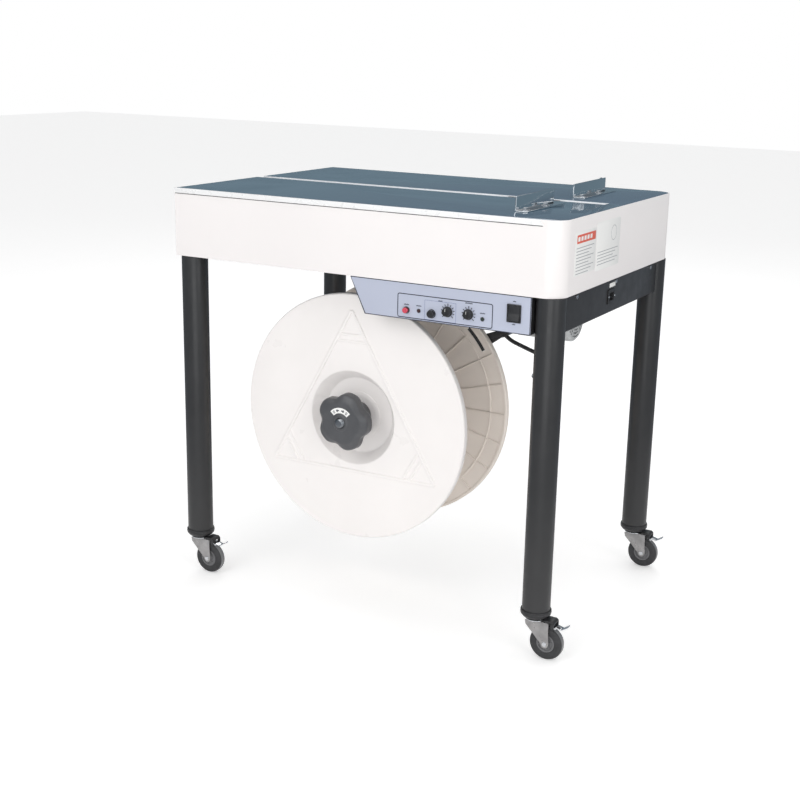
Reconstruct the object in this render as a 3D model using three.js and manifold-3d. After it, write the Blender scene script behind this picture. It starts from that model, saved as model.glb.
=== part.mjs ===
// Semi-automatic strapping machine: a steel table on four casters. The strap-sealing head sits under the
// slotted top, the strap reel hangs on a bracket below it, and a control panel hangs under the front edge.
// Millimetres, +Z up, +X to the right along the front, -Y towards the operator.
import * as THREE from 'three';
import { mergeVertices } from 'three/addons/utils/BufferGeometryUtils.js';
import Module from 'manifold-3d';

// ---- Driving dimensions ---------------------------------------------------------------------------------
const TABLE = { width: 766, depth: 536, height: 750, apron: 124, corner: 32, sheet: 2, lip: 2.5 };
const GAP = 0.3; // clearance between neighbouring pieces
const RIGHT = TABLE.width / 2;
const BACK = TABLE.depth / 2;
const APRON_BOTTOM = TABLE.height - TABLE.apron;

const LEG = { radius: 24.3, wall: 2, inset: 24.5, foot: 75, capHeight: 13, capRadius: 26.5, socketFloor: 5 };
const CASTER = { wheelRadius: 30, trail: 23, wheelHalf: 9.5, cheekInner: 10, cheekOuter: 12, stem: 6 };
CASTER.crown = [66, 69.5];
CASTER.length = [-15, 29];
CASTER.boss = 7.5;
CASTER.hoodTop = LEG.foot - 1;

const BASE_FRAME = { bottom: APRON_BOTTOM, thickness: 5.5, rail: 51 };
BASE_FRAME.crossbars = [[-200, -172], [106, 130], [262, 290]];
const SLOT = { halfWidth: 12, right: 350, floor: TABLE.height - 8, wall: 1.2 };
const STOPPER = { x: 268, height: 25, foot: 23, near: 45, far: 201, sheet: 2, bolts: [16, 97] };
const TRIM = { height: 9, thickness: 1.2, right: 343, bevel: 7 };

const PANEL = { front: -266, thickness: 1.5, top: APRON_BOTTOM - GAP, bottom: 563, right: 333.6 };
PANEL.topLeft = -6;
PANEL.bottomLeft = 24;
PANEL.boxDepth = 38;
PANEL.slope = 1.2; // how far a slanted edge moves for each millimetre of inset
const CONTROLS = {
  reset: { x: 106, z: 579, cap: 4.8, stem: 3.6 },
  feedButton: { x: 154, z: 578, cap: 6.3, stem: 4.8 },
  feedKnob: { x: 184, z: 585, stem: 3 },
  tensionKnob: { x: 222.5, z: 585, stem: 3 },
  errorLamp: { x: 129.5, z: 580, stem: 2.2 },
  powerLamp: { x: 248, z: 580, stem: 2.2 },
  rocker: { x: 304, z: 596, width: 25, height: 30, tilt: 7 },
};
const BUTTON_TRAVEL = 3;
const STEM_END = PANEL.front + 8; // how far buttons, dials and lamps reach in behind the panel
const BOARD = { left: 70, right: 280, bottom: 569, top: 619, thickness: 1.6, standOff: 6.4 };
BOARD.relays = { x: [92, 112, 132], width: 14, bottom: 600, top: 616 };
BOARD.transformer = { left: 170, right: 210, bottom: 576, top: 606 };

const BEAM = { left: 341, right: 375, bottom: 565, height: 61, sheet: 2, halfLength: 218.6 };
BEAM.bolts = { y: [-180, 0, 180], drop: 8, radius: 5, height: 3 };
const INLET = { y: -20, z: 594, width: 24, height: 18, flange: 4, back: 350, pins: [-6, 0, 6] };

const REEL = { x: -30, z: 356, radius: 227.5, front: -215, rear: -45, rim: 12, sheet: 3, shaft: 12 };
REEL.bore = REEL.shaft + 0.5;
REEL.dish = { mouth: 87, floor: 70, depth: 25 };
REEL.drum = 98;
REEL.ridge = { outer: 204, inner: 192, height: 2 };
REEL.hub = { radius: 30, depth: 19 };
const KNOB = { front: -258, back: -228, radius: 50.2, swell: 3.6, lobes: 5, firstLobe: 20, bore: 8.4 };
KNOB.hub = { back: 30, front: 26 };
const BRACKET = { front: -21, back: -9, width: 14, hub: 24, leans: [36.4, 114] };
BRACKET.foot = [-14, 10];
BRACKET.footHeight = 7;
const BRAKE = { x: 179, z: 507, front: -31, back: -25, rod: 3.8, pin: 4, rollerX: 266, rollerZ: 470 };
BRAKE.rollerRadius = 11;
BRAKE.shoe = { angle: 39, inset: 12, radius: 6 };
BRAKE.bends = [[-1, -4], [15, -15], [55, -28]]; // the rod's corners from the pin

const HEAD = { camZ: 672, shaft: 8, left: 160, right: 256, sheet: 4, top: TABLE.height - 8.5, halfDepth: 60 };
HEAD.base = BASE_FRAME.bottom + BASE_FRAME.thickness + 0.5;
HEAD.baseTop = HEAD.base + 5.5;
HEAD.bed = { left: 106, right: 290, halfDepth: 70 };
HEAD.guide = { low: 715, high: 728, y: [-14, 10], thickness: 4 };
const CAM = { radius: 18, offset: 8, width: 12 };
const PRESSER = { stem: 5, foot: HEAD.camZ + 28, shoulder: 712, top: 732.5, halfDepth: 9 };
const PRESSERS = [
  { name: 'left_gripper', x: 179, width: 22, phase: 0 },
  { name: 'press_head', x: 207, width: 18, phase: 120 },
  { name: 'right_gripper', x: 235, width: 24, phase: 240 },
];
const DRIVE = { left: 140, right: 152, camPulley: 30, motorPulley: 13, motorY: 50, motorZ: 530, belt: 2 };
DRIVE.spindle = 6;
const MOTOR = { left: DRIVE.right + 9.4, right: 287, radius: 42, fins: 20, finDepth: 5 };
MOTOR.terminalBox = { left: 34, right: 78, halfDepth: 16, height: 16 };
const FEED = { rollerX: 283, z: 690, roller: 16, pinch: 11.5, halfWidth: 9, pin: 4, motor: 25 };
FEED.pinchX = FEED.rollerX + FEED.roller + FEED.pinch + 0.5;
FEED.plate = [18, 22];
FEED.motorSpan = { front: FEED.plate[1] + 0.6, face: 34, back: 110 };

// ---- Materials ------------------------------------------------------------------------------------------
const finish = (color, roughness, metalness) => (
  new THREE.MeshStandardMaterial({ color, roughness, metalness })
);
const WHITE_PAINT = finish(0xf3efe8, 0.4, 0.1);
const BLUE_PAINT = finish(0x5c7487, 0.2, 0.1);
const BLACK_PAINT = finish(0x26272a, 0.45, 0.1);
const STAINLESS = finish(0xc8cacc, 0.25, 1);
const ZINC = finish(0xaeb1b4, 0.4, 0.9);
const PANEL_GREY = finish(0xcdd4e2, 0.5, 0);
const MOTOR_GREY = finish(0xb9bcbd, 0.5, 0.5);
const REEL_WHITE = finish(0xf0efec, 0.5, 0);
const REEL_GREY = finish(0xc6c1b6, 0.55, 0);
const BLACK_PLASTIC = finish(0x2e3032, 0.5, 0);
const RED_PLASTIC = finish(0xb52a26, 0.35, 0);
const GREEN_PLASTIC = finish(0x3c8f4a, 0.3, 0);
const RUBBER = finish(0x1c1c1d, 0.8, 0);
const STEEL = finish(0x8f9294, 0.35, 0.9);
const CIRCUIT_GREEN = finish(0x2c5a3a, 0.6, 0);

// ---- Solid tools ----------------------------------------------------------------------------------------
const wasm = await Module();
wasm.setup();

function toSolid(geometry) {
  const bare = geometry.clone();
  bare.deleteAttribute('normal');
  bare.deleteAttribute('uv');
  const merged = mergeVertices(bare, 1e-3);
  const corners = merged.index.array;
  const triangles = [];
  for (let i = 0; i < corners.length; i += 3) {
    const [a, b, c] = [corners[i], corners[i + 1], corners[i + 2]];
    if (a !== b && b !== c && c !== a) triangles.push(a, b, c);
  }
  const vertProperties = new Float32Array(merged.getAttribute('position').array);
  return new wasm.Manifold(new wasm.Mesh({ numProp: 3, vertProperties, triVerts: new Uint32Array(triangles) }));
}

function toGeometry(solid) {
  const { vertProperties, triVerts } = solid.getMesh();
  const geometry = new THREE.BufferGeometry();
  geometry.setAttribute('position', new THREE.BufferAttribute(vertProperties, 3));
  geometry.setIndex(new THREE.BufferAttribute(triVerts, 1));
  geometry.computeVertexNormals();
  return geometry;
}

function join(first, ...rest) {
  return toGeometry(rest.reduce((sum, piece) => sum.add(toSolid(piece)), toSolid(first)));
}
function cut(body, ...tools) {
  return toGeometry(tools.reduce((rest, tool) => rest.subtract(toSolid(tool)), toSolid(body)));
}

// ---- Shape helpers --------------------------------------------------------------------------------------
// A box between two corners, given as [low, high] along each axis.
function block([x0, x1], [y0, y1], [z0, z1]) {
  const geometry = new THREE.BoxGeometry(x1 - x0, y1 - y0, z1 - z0);
  return geometry.translate((x0 + x1) / 2, (y0 + y1) / 2, (z0 + z1) / 2);
}

// A solid turned about the Y axis from a closed [radius, y] profile.
function turned(profile, segments = 32) {
  const area = profile.reduce((sum, [r, y], i) => {
    const [nextR, nextY] = profile[(i + 1) % profile.length];
    return sum + r * nextY - nextR * y;
  }, 0);
  const ordered = area > 0 ? profile : [...profile].reverse();
  const points = [...ordered, ordered[0]].map(([r, y]) => new THREE.Vector2(r, y));
  return new THREE.LatheGeometry(points, segments);
}

const turnedUpright = (profile, segments) => turned(profile, segments).rotateX(Math.PI / 2);

// Cylinders along each axis, from one end coordinate to the other.
function rodY(radius, [y0, y1], x = 0, z = 0, segments = 24) {
  return new THREE.CylinderGeometry(radius, radius, y1 - y0, segments).translate(x, (y0 + y1) / 2, z);
}
function rodZ(radius, [z0, z1], x = 0, y = 0, segments = 24) {
  const geometry = new THREE.CylinderGeometry(radius, radius, z1 - z0, segments).rotateX(Math.PI / 2);
  return geometry.translate(x, y, (z0 + z1) / 2);
}
function rodX(radius, [x0, x1], y = 0, z = 0, segments = 24) {
  const geometry = new THREE.CylinderGeometry(radius, radius, x1 - x0, segments).rotateZ(Math.PI / 2);
  return geometry.translate((x0 + x1) / 2, y, z);
}

function polygon(points) {
  return new THREE.Shape(points.map(([u, v]) => new THREE.Vector2(u, v)));
}

// An outline in the XY plane, raised from z0 to z1.
function flatPlate(shape, [z0, z1], curveSegments = 6) {
  const geometry = new THREE.ExtrudeGeometry(shape, { depth: z1 - z0, bevelEnabled: false, curveSegments });
  return geometry.translate(0, 0, z0);
}
// An outline in the XZ plane, running from y0 to y1.
function facingPlate(shape, [y0, y1], curveSegments = 6) {
  const geometry = new THREE.ExtrudeGeometry(shape, { depth: y1 - y0, bevelEnabled: false, curveSegments });
  return geometry.rotateX(Math.PI / 2).translate(0, y1, 0);
}
// An outline in the YZ plane, running from x0 to x1.
function sidePlate(shape, [x0, x1], curveSegments = 6) {
  const geometry = new THREE.ExtrudeGeometry(shape, { depth: x1 - x0, bevelEnabled: false, curveSegments });
  const [x, y, z] = [new THREE.Vector3(1, 0, 0), new THREE.Vector3(0, 1, 0), new THREE.Vector3(0, 0, 1)];
  return geometry.applyMatrix4(new THREE.Matrix4().makeBasis(y, z, x)).translate(x0, 0, 0);
}

// ---- Table ----------------------------------------------------------------------------------------------
// The table seen from above: square corners on the left, rounded ones on the right.
function tableOutline(inset) {
  const [left, right, half, radius] = [inset - RIGHT, RIGHT - inset, BACK - inset, TABLE.corner - inset];
  const outline = new THREE.Shape();
  outline.moveTo(left, -half);
  outline.lineTo(right - radius, -half);
  outline.absarc(right - radius, radius - half, radius, -Math.PI / 2, 0);
  outline.absarc(right - radius, half - radius, radius, 0, Math.PI / 2);
  outline.lineTo(left, half);
  outline.closePath();
  return outline;
}

function apron() {
  const outline = tableOutline(0);
  outline.holes.push(tableOutline(TABLE.sheet));
  const ring = flatPlate(outline, [APRON_BOTTOM, TABLE.height]);
  const notchHalf = SLOT.halfWidth + 1;
  const notch = block([-RIGHT - 1, 5 - RIGHT], [-notchHalf, notchHalf], [SLOT.floor - 1, TABLE.height + 1]);
  return cut(ring, notch);
}

// One half of the top: it fills its side of the apron and steps in around the strap slot.
function topPlate(side) {
  const [edge, radius] = [TABLE.lip, TABLE.corner - TABLE.lip];
  const [left, right, half] = [edge - RIGHT, RIGHT - edge, BACK - edge];
  const outline = new THREE.Shape();
  outline.moveTo(left, -half);
  outline.lineTo(right - radius, -half);
  outline.absarc(right - radius, radius - half, radius, -Math.PI / 2, 0);
  outline.lineTo(right, -GAP);
  outline.lineTo(SLOT.right + 0.5, -GAP);
  outline.lineTo(SLOT.right + 0.5, -SLOT.halfWidth - 0.5);
  outline.lineTo(left, -SLOT.halfWidth - 0.5);
  outline.closePath();
  const plate = flatPlate(outline, [0, TABLE.sheet]);
  return side < 0 ? plate : plate.rotateX(Math.PI).translate(0, 0, TABLE.sheet);
}

function baseFrame() {
  const outline = tableOutline(TABLE.sheet + 0.4);
  const half = BACK - BASE_FRAME.rail;
  const edges = [BASE_FRAME.rail - RIGHT, ...BASE_FRAME.crossbars.flat(), RIGHT - BASE_FRAME.rail];
  const bays = [0, 2, 4, 6].map((i) => [edges[i], edges[i + 1]]);
  const span = [BASE_FRAME.bottom, BASE_FRAME.bottom + BASE_FRAME.thickness];
  const openings = bays.map((bay) => block(bay, [-half, half], [span[0] - 1, span[1] + 1]));
  return cut(flatPlate(outline, span), ...openings);
}

function sideBeam() {
  const { left, right, bottom, height, sheet, halfLength } = BEAM;
  const top = bottom + height;
  const channel = facingPlate(polygon([
    [left, bottom], [right, bottom], [right, top], [left, top],
    [left, top - sheet], [right - sheet, top - sheet], [right - sheet, bottom + sheet], [left, bottom + sheet],
  ]), [-halfLength, halfLength]);
  const { drop, radius, height: boltHeight } = BEAM.bolts;
  const bolts = BEAM.bolts.y.map((y) => rodX(radius, [right - 1, right + boltHeight], y, top - drop, 6));
  const [halfWidth, halfHeight] = [INLET.width / 2 + 0.5, INLET.height / 2 + 0.5];
  const window = block([right - 3, right + 1], [INLET.y - halfWidth, INLET.y + halfWidth],
    [INLET.z - halfHeight, INLET.z + halfHeight]);
  return cut(join(channel, ...bolts), window);
}

function powerInlet() {
  const [halfWidth, halfHeight] = [INLET.width / 2, INLET.height / 2];
  const body = block([INLET.back, BEAM.right + 2], [INLET.y - halfWidth, INLET.y + halfWidth],
    [INLET.z - halfHeight, INLET.z + halfHeight]);
  const flange = block([BEAM.right + GAP, BEAM.right + 2.5],
    [INLET.y - halfWidth - INLET.flange, INLET.y + halfWidth + INLET.flange],
    [INLET.z - halfHeight - INLET.flange, INLET.z + halfHeight + INLET.flange]);
  const pins = INLET.pins.map((dy) => block([BEAM.right - 9, BEAM.right + 5],
    [INLET.y + dy - 1, INLET.y + dy + 1], [INLET.z - 3, INLET.z + 3]));
  return cut(join(body, flange), ...pins);
}

function leg() {
  const [inner, bottom] = [LEG.radius - LEG.wall, LEG.foot + LEG.socketFloor + GAP];
  const top = BASE_FRAME.bottom - GAP;
  return turnedUpright([[inner, bottom], [LEG.radius, bottom], [LEG.radius, top], [inner, top]], 20);
}

function footCap() {
  const { foot, capRadius, capHeight, socketFloor } = LEG;
  const [socket, bore] = [LEG.radius + GAP, CASTER.stem + GAP];
  return turnedUpright([
    [bore, foot], [capRadius - 4, foot], [capRadius, foot + 4], [capRadius, foot + capHeight],
    [socket, foot + capHeight], [socket, foot + socketFloor], [bore, foot + socketFloor],
  ], 20);
}

function strapChannel() {
  const { halfWidth, wall, floor } = SLOT;
  const rise = TABLE.height - GAP - floor;
  const section = polygon([
    [-halfWidth, 0], [halfWidth, 0], [halfWidth, rise], [halfWidth - wall, rise],
    [halfWidth - wall, 1.5], [wall - halfWidth, 1.5], [wall - halfWidth, rise], [-halfWidth, rise],
  ]);
  const channel = sidePlate(section, [GAP - RIGHT, SLOT.right]).translate(0, 0, floor);
  const headOpening = block([HEAD.left - 2.5, HEAD.right + 2.5], [-9.5, 13], [floor - 1, floor + 6.3]);
  return cut(channel, headOpening);
}

function frontEdgeTrim() {
  const { height, thickness, right, bevel } = TRIM;
  const face = polygon([[-RIGHT, -height], [right + bevel, -height], [right, 0], [-RIGHT, 0]]);
  const front = -BACK - GAP;
  return facingPlate(face, [front - thickness, front]).translate(0, 0, TABLE.height);
}

// An L-section stop for the carton; its bolts go down through the foot into the top.
function stopper(side, withHook) {
  const { x, height, foot, near, far, sheet } = STOPPER;
  const rise = height - GAP;
  const section = polygon([[0, 0], [foot, 0], [foot, sheet], [sheet, sheet], [sheet, rise], [0, rise]]);
  const span = side < 0 ? [-far, -near] : [near, far];
  const angle = facingPlate(section, span).translate(x, 0, GAP);
  const bolts = STOPPER.bolts.map((inset) => rodZ(5, [1, 6], x + 12, span[0] + inset, 6));
  const hook = block([x - 7, x + 1], [far - 9, far - 1], [height - 4, height - 1]);
  return join(angle, ...bolts, ...(withHook ? [hook] : []));
}

// ---- Controls under the front edge ----------------------------------------------------------------------
function panelOutline(inset) {
  const { top, bottom, topLeft, bottomLeft, right } = PANEL;
  const slant = inset * PANEL.slope;
  return polygon([
    [bottomLeft + slant, bottom + inset], [right - inset, bottom + inset],
    [right - inset, top - inset], [topLeft + slant, top - inset],
  ]);
}

function controlBox() {
  const back = PANEL.front + PANEL.boxDepth;
  const front = PANEL.front + PANEL.thickness + GAP;
  const shell = facingPlate(panelOutline(0), [front, back]);
  return cut(shell, facingPlate(panelOutline(2), [front - 1, back - 2]));
}

function controlPanel() {
  const { front, thickness } = PANEL;
  const span = [front, front + thickness];
  const through = [front - 5, front + 5];
  const { reset, feedButton, feedKnob, tensionKnob, errorLamp, powerLamp, rocker } = CONTROLS;
  const holes = [reset, feedButton, feedKnob, tensionKnob, errorLamp, powerLamp]
    .map(({ x, z, stem }) => rodY(stem + 0.5, through, x, z, 16));
  const frame = block([rocker.x - rocker.width / 2, rocker.x + rocker.width / 2], [front - 2, front + 1],
    [rocker.z - rocker.height / 2, rocker.z + rocker.height / 2]);
  const window = block([rocker.x - 10.5, rocker.x + 10.5], through, [rocker.z - 13.4, rocker.z + 13.4]);
  return cut(join(facingPlate(panelOutline(0), span), frame), ...holes, window);
}

function pushButton({ cap, stem }) {
  const capBack = PANEL.front - BUTTON_TRAVEL - 0.8;
  return turned([
    [0, STEM_END], [stem, STEM_END], [stem, capBack], [cap, capBack],
    [cap, capBack - 2], [cap - 1.2, capBack - 3.2], [0, capBack - 3.5],
  ], 16);
}

function lamp({ stem }) {
  const { front } = PANEL;
  return turned([
    [0, STEM_END], [stem, STEM_END], [stem, front - GAP], [stem + 1, front - GAP],
    [stem + 1, front - 1], [stem - 0.4, front - 1.9], [0, front - 2.2],
  ], 16);
}

// A dial knob with a pointer rib across its cap.
function dialKnob() {
  const { front } = PANEL;
  const skirt = turned([
    [0, STEM_END], [3, STEM_END], [3, front - 0.8], [9, front - 0.8],
    [9, front - 2.5], [7.6, front - 3.5], [7, front - 9], [0, front - 9],
  ], 16);
  return join(skirt, block([-1.2, 1.2], [front - 10.5, front - 8], [-6.5, 6.5]));
}

// Tilted at rest so that one half stands out; it rocks about its middle.
function powerRocker() {
  const profile = polygon([[3, -12.6], [3, 12.6], [-3.2, 12.6], [-1.6, 0], [-3.2, -12.6]]);
  return sidePlate(profile, [-9.8, 9.8]).rotateX(-THREE.MathUtils.degToRad(CONTROLS.rocker.tilt));
}

function controlBoard() {
  const back = PANEL.front + PANEL.boxDepth - 2;
  const { left, right, bottom, top, thickness, standOff, relays, transformer } = BOARD;
  const face = back - standOff - thickness;
  const board = block([left, right], [face, back - standOff], [bottom, top]);
  const boxes = relays.x.map((x) => (
    block([x, x + relays.width], [face - 12, face + 1], [relays.bottom, relays.top])
  ));
  const tall = block([transformer.left, transformer.right], [face - 10, face + 1],
    [transformer.bottom, transformer.top]);
  return join(board, ...boxes, tall);
}

// ---- Strap reel -----------------------------------------------------------------------------------------
// The front flange dishes inwards at its middle; the rim of both flanges turns back.
function frontFlange() {
  const { radius, front, rim, sheet, bore, dish } = REEL;
  const disc = turned([
    [bore, front + dish.depth], [dish.floor, front + dish.depth], [dish.mouth, front],
    [radius - 3, front], [radius, front + 3], [radius, front + rim], [radius - 4, front + rim],
    [radius - 4, front + sheet + 1], [dish.mouth + 1, front + sheet],
    [dish.floor + 2, front + dish.depth + sheet], [bore, front + dish.depth + sheet],
  ], 48);
  const { ridge: { outer: outerReach, inner: innerReach, height } } = REEL;
  const [outer, inner] = [outerReach, innerReach].map((r) => [90, 210, 330].map((degrees) => {
    const angle = THREE.MathUtils.degToRad(degrees);
    return [r * Math.cos(angle), r * Math.sin(angle)];
  }));
  const ridge = polygon(outer);
  ridge.holes.push(polygon(inner));
  return join(disc, facingPlate(ridge, [front - height, front + 1]));
}

function rearFlange() {
  const { radius, rear, rim, sheet, bore, hub } = REEL;
  return turned([
    [bore, rear], [radius, rear], [radius, rear + rim], [radius - 4, rear + rim],
    [radius - 4, rear + sheet], [hub.radius, rear + sheet],
    [hub.radius, rear + hub.depth], [bore, rear + hub.depth],
  ], 48);
}

function reelDrum() {
  const { front, rear, sheet, dish, bore, drum } = REEL;
  const [frontEnd, rearEnd, wall] = [front + sheet + GAP, rear - GAP, drum - 4];
  const tubeEnd = front + dish.depth + sheet + 0.5;
  return turned([
    [bore, tubeEnd], [20, tubeEnd], [20, rearEnd - 5], [wall, rearEnd - 5],
    [wall, frontEnd], [drum, frontEnd], [drum, rearEnd], [bore, rearEnd],
  ], 36);
}

function reelKnob() {
  const { front, back, radius, swell, lobes, firstLobe, bore, hub: hubRadii } = KNOB;
  const outline = new THREE.Shape();
  const steps = 50;
  for (let i = 0; i < steps; i += 1) {
    const angle = (i / steps) * 2 * Math.PI;
    const reach = radius + swell * Math.cos(lobes * (angle - THREE.MathUtils.degToRad(firstLobe)));
    const point = [reach * Math.cos(angle), reach * Math.sin(angle)];
    if (i === 0) outline.moveTo(...point);
    else outline.lineTo(...point);
  }
  outline.closePath();
  const hubEnd = REEL.front + REEL.dish.depth - 0.8;
  const hub = turned([[0, back - 1], [hubRadii.back, back - 1], [hubRadii.front, hubEnd], [0, hubEnd]], 30);
  return cut(join(facingPlate(outline, [front, back]), hub), rodY(bore, [front - 5, hubEnd + 5]));
}

function reelShaft() {
  const { shaft, front, dish } = REEL;
  const shoulder = front + dish.depth;
  return turned([
    [0, BRACKET.back + 2], [shaft, BRACKET.back + 2], [shaft, shoulder + 4], [8, shoulder],
    [8, KNOB.front - 3], [7, KNOB.front - 4], [0, KNOB.front - 4],
  ], 24);
}

// A straight bar in the XZ plane from one point to another, with square ends.
function bar([x0, z0], [x1, z1], width, span) {
  const [dx, dz] = [x1 - x0, z1 - z0];
  const length = Math.hypot(dx, dz);
  const [sideX, sideZ] = [(-dz / length) * (width / 2), (dx / length) * (width / 2)];
  return facingPlate(polygon([
    [x0 - sideX, z0 - sideZ], [x1 - sideX, z1 - sideZ], [x1 + sideX, z1 + sideZ], [x0 + sideX, z0 + sideZ],
  ]), span);
}

function reelBracket() {
  const { front, back, width, hub, leans, foot, footHeight } = BRACKET;
  const top = BASE_FRAME.bottom - GAP;
  const span = [front, back];
  const armTop = top - footHeight;
  const arms = leans.map((lean) => {
    const footX = REEL.x + (armTop - REEL.z) / Math.tan(THREE.MathUtils.degToRad(lean));
    const arm = bar([REEL.x, REEL.z], [footX, armTop], width, span);
    return join(arm, block(foot.map((reach) => footX + reach), span, [armTop, top]));
  });
  const boss = rodY(hub, span, REEL.x, REEL.z);
  const brakePin = rodY(BRAKE.pin, [BRAKE.front - 3, front + 1], BRAKE.x, BRAKE.z, 12);
  return cut(join(...arms, boss, brakePin), rodY(REEL.shaft + GAP, [front - 1, back + 1], REEL.x, REEL.z));
}

// The brake lever turns on a pin in the bracket: its bent rod hangs on the strap, and its shoe bears on the
// inside of the rear flange's turned rim.
function brakeLever() {
  const { x, z, front, back, rod, pin, rollerX, rollerZ, shoe, bends } = BRAKE;
  const [reach, angle] = [REEL.radius - shoe.inset, THREE.MathUtils.degToRad(shoe.angle)];
  const shoeSpot = [REEL.x + reach * Math.cos(angle), REEL.z + reach * Math.sin(angle)];
  const arm = bar([x, z], shoeSpot, 11, [front, back]);
  const boss = rodY(9, [front, back], x, z, 16);
  const pad = rodY(shoe.radius, [REEL.rear + REEL.sheet + 1, back], ...shoeSpot, 12);
  const middle = (front + back) / 2;
  const path = [...bends.map(([dx, dz]) => [x + dx, z + dz]), [rollerX, rollerZ]];
  const corners = path.map(([px, pz]) => new THREE.Vector3(px, middle, pz));
  const pieces = corners.slice(1).map((end, i) => {
    const run = end.clone().sub(corners[i]);
    const piece = new THREE.CylinderGeometry(rod, rod, run.length(), 10);
    const lean = new THREE.Quaternion().setFromUnitVectors(new THREE.Vector3(0, 1, 0), run.normalize());
    piece.applyQuaternion(lean);
    return piece.translate(...corners[i].clone().add(end).multiplyScalar(0.5));
  });
  const elbows = corners.slice(1).map((corner) => new THREE.SphereGeometry(rod, 8, 6).translate(...corner));
  const axle = rodY(3.5, [front - 26, middle], rollerX, rollerZ, 12);
  const pinBore = rodY(pin + GAP, [front - 5, back + 5], x, z, 12);
  return cut(join(arm, boss, pad, ...pieces, ...elbows, axle), pinBore);
}

function guideRoller() {
  const { front, rollerRadius } = BRAKE;
  const [y0, y1, groove, bore] = [front - 25, front - 2.5, rollerRadius - 1.5, 3.9];
  return turned([
    [bore, y0], [rollerRadius, y0], [rollerRadius, y0 + 2], [groove, y0 + 3],
    [groove, y1 - 3], [rollerRadius, y1 - 2], [rollerRadius, y1], [bore, y1],
  ], 16);
}

// ---- Sealing head ---------------------------------------------------------------------------------------
function mechanismFrame() {
  const { base, baseTop, left, right, sheet, top, halfDepth, camZ, shaft } = HEAD;
  const bedHalf = HEAD.bed.halfDepth;
  const bed = block([HEAD.bed.left, HEAD.bed.right], [-bedHalf, bedHalf], [base, baseTop]);
  const walls = [left, right - sheet].map((x) => (
    block([x, x + sheet], [-halfDepth, halfDepth], [baseTop - 1, top])
  ));
  const { guide } = HEAD;
  const guides = guide.y.map((y) => (
    block([left + 1, right - 1], [y, y + guide.thickness], [guide.low, guide.high])
  ));
  const motorPlate = block([157, 161], [5, 95], [DRIVE.motorZ - MOTOR.radius, base + 1]);
  const rollerPlate = block([right - 1, FEED.pinchX + 14], FEED.plate, [baseTop - 1, FEED.z + 30]);
  const pinchPin = rodY(FEED.pin, [-FEED.halfWidth - 2, FEED.plate[0] + 1], FEED.pinchX, FEED.z, 16);
  const beltWindow = block([134, 156.5], [-26, 54], [base - 1, baseTop + 1]);
  const camBore = rodX(shaft + 0.4, [left - 2, right + 2], 0, camZ, 16);
  const motorBore = rodX(14, [155, 163], DRIVE.motorY, DRIVE.motorZ, 16);
  const feedBore = rodY(5.4, [16, 24], FEED.rollerX, FEED.z, 12);
  const body = join(bed, ...walls, ...guides, motorPlate, rollerPlate, pinchPin);
  return cut(body, beltWindow, camBore, motorBore, feedBore);
}

function camshaft() {
  const { camZ, shaft, right } = HEAD;
  const cams = PRESSERS.map(({ x, phase }) => {
    const angle = THREE.MathUtils.degToRad(phase);
    const [y, z] = [CAM.offset * Math.sin(angle), camZ + CAM.offset * Math.cos(angle)];
    return rodX(CAM.radius, [x - CAM.width / 2, x + CAM.width / 2], y, z, 20);
  });
  const spindle = rodX(shaft, [DRIVE.left - 6, right + 6], 0, camZ, 16);
  const pulley = rodX(DRIVE.camPulley, [DRIVE.left, DRIVE.right], 0, camZ, 28);
  return join(spindle, pulley, ...cams);
}

function motorPulley() {
  const pulley = rodX(DRIVE.motorPulley, [DRIVE.left, DRIVE.right], DRIVE.motorY, DRIVE.motorZ);
  const spindle = rodX(DRIVE.spindle, [DRIVE.left - 3, MOTOR.left - GAP], DRIVE.motorY, DRIVE.motorZ, 16);
  return join(pulley, spindle);
}

// The outline of a belt round both pulleys, standing off them by a margin.
function beltOutline(margin) {
  const { motorY, motorZ, camPulley, motorPulley: small } = DRIVE;
  const [dy, dz] = [motorY, motorZ - HEAD.camZ];
  const heading = Math.atan2(dz, dy);
  const spread = Math.acos((camPulley - small) / Math.hypot(dy, dz));
  const outline = new THREE.Shape();
  outline.absarc(0, HEAD.camZ, camPulley + margin, heading + spread, heading - spread + 2 * Math.PI);
  outline.absarc(motorY, motorZ, small + margin, heading - spread, heading + spread);
  outline.closePath();
  return outline;
}

function driveBelt() {
  const outline = beltOutline(DRIVE.belt + 0.5);
  outline.holes.push(beltOutline(0.5));
  return sidePlate(outline, [DRIVE.left + 1, DRIVE.right - 1], 10);
}

function mainMotor() {
  const { left, right, radius, fins, finDepth, terminalBox } = MOTOR;
  const [crest, valley] = [radius, radius - finDepth];
  const outline = [];
  for (let i = 0; i < fins; i += 1) {
    for (const [share, reach] of [[0, crest], [0.3, crest], [0.5, valley], [0.8, valley]]) {
      const angle = ((i + share) / fins) * 2 * Math.PI;
      outline.push([reach * Math.cos(angle), reach * Math.sin(angle)]);
    }
  }
  const housing = sidePlate(polygon(outline), [left + 14, right - 26]);
  const frontBell = rodX(radius - 3, [left, left + 15], 0, 0, 24);
  const fanCover = rodX(radius - 0.5, [right - 27, right], 0, 0, 24);
  const { halfDepth, height } = terminalBox;
  const box = block([left + terminalBox.left, left + terminalBox.right], [-halfDepth, halfDepth],
    [radius - 8, radius + height]);
  return join(housing, frontBell, fanCover, box);
}

function feedMotor() {
  const { motor, motorSpan: { front, face, back } } = FEED;
  const gearbox = block([-motor, motor], [front, face], [-motor, motor]);
  return join(gearbox, rodY(motor - 2, [face - 1, back], 0, 0, 20));
}

function feedRoller() {
  const { roller, halfWidth, motorSpan } = FEED;
  const shaftEnd = motorSpan.front - GAP;
  return turned([
    [0, -halfWidth - 3], [5, -halfWidth - 3], [5, -halfWidth], [roller, -halfWidth],
    [roller, halfWidth], [5, halfWidth], [5, shaftEnd], [0, shaftEnd],
  ], 20);
}

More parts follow.
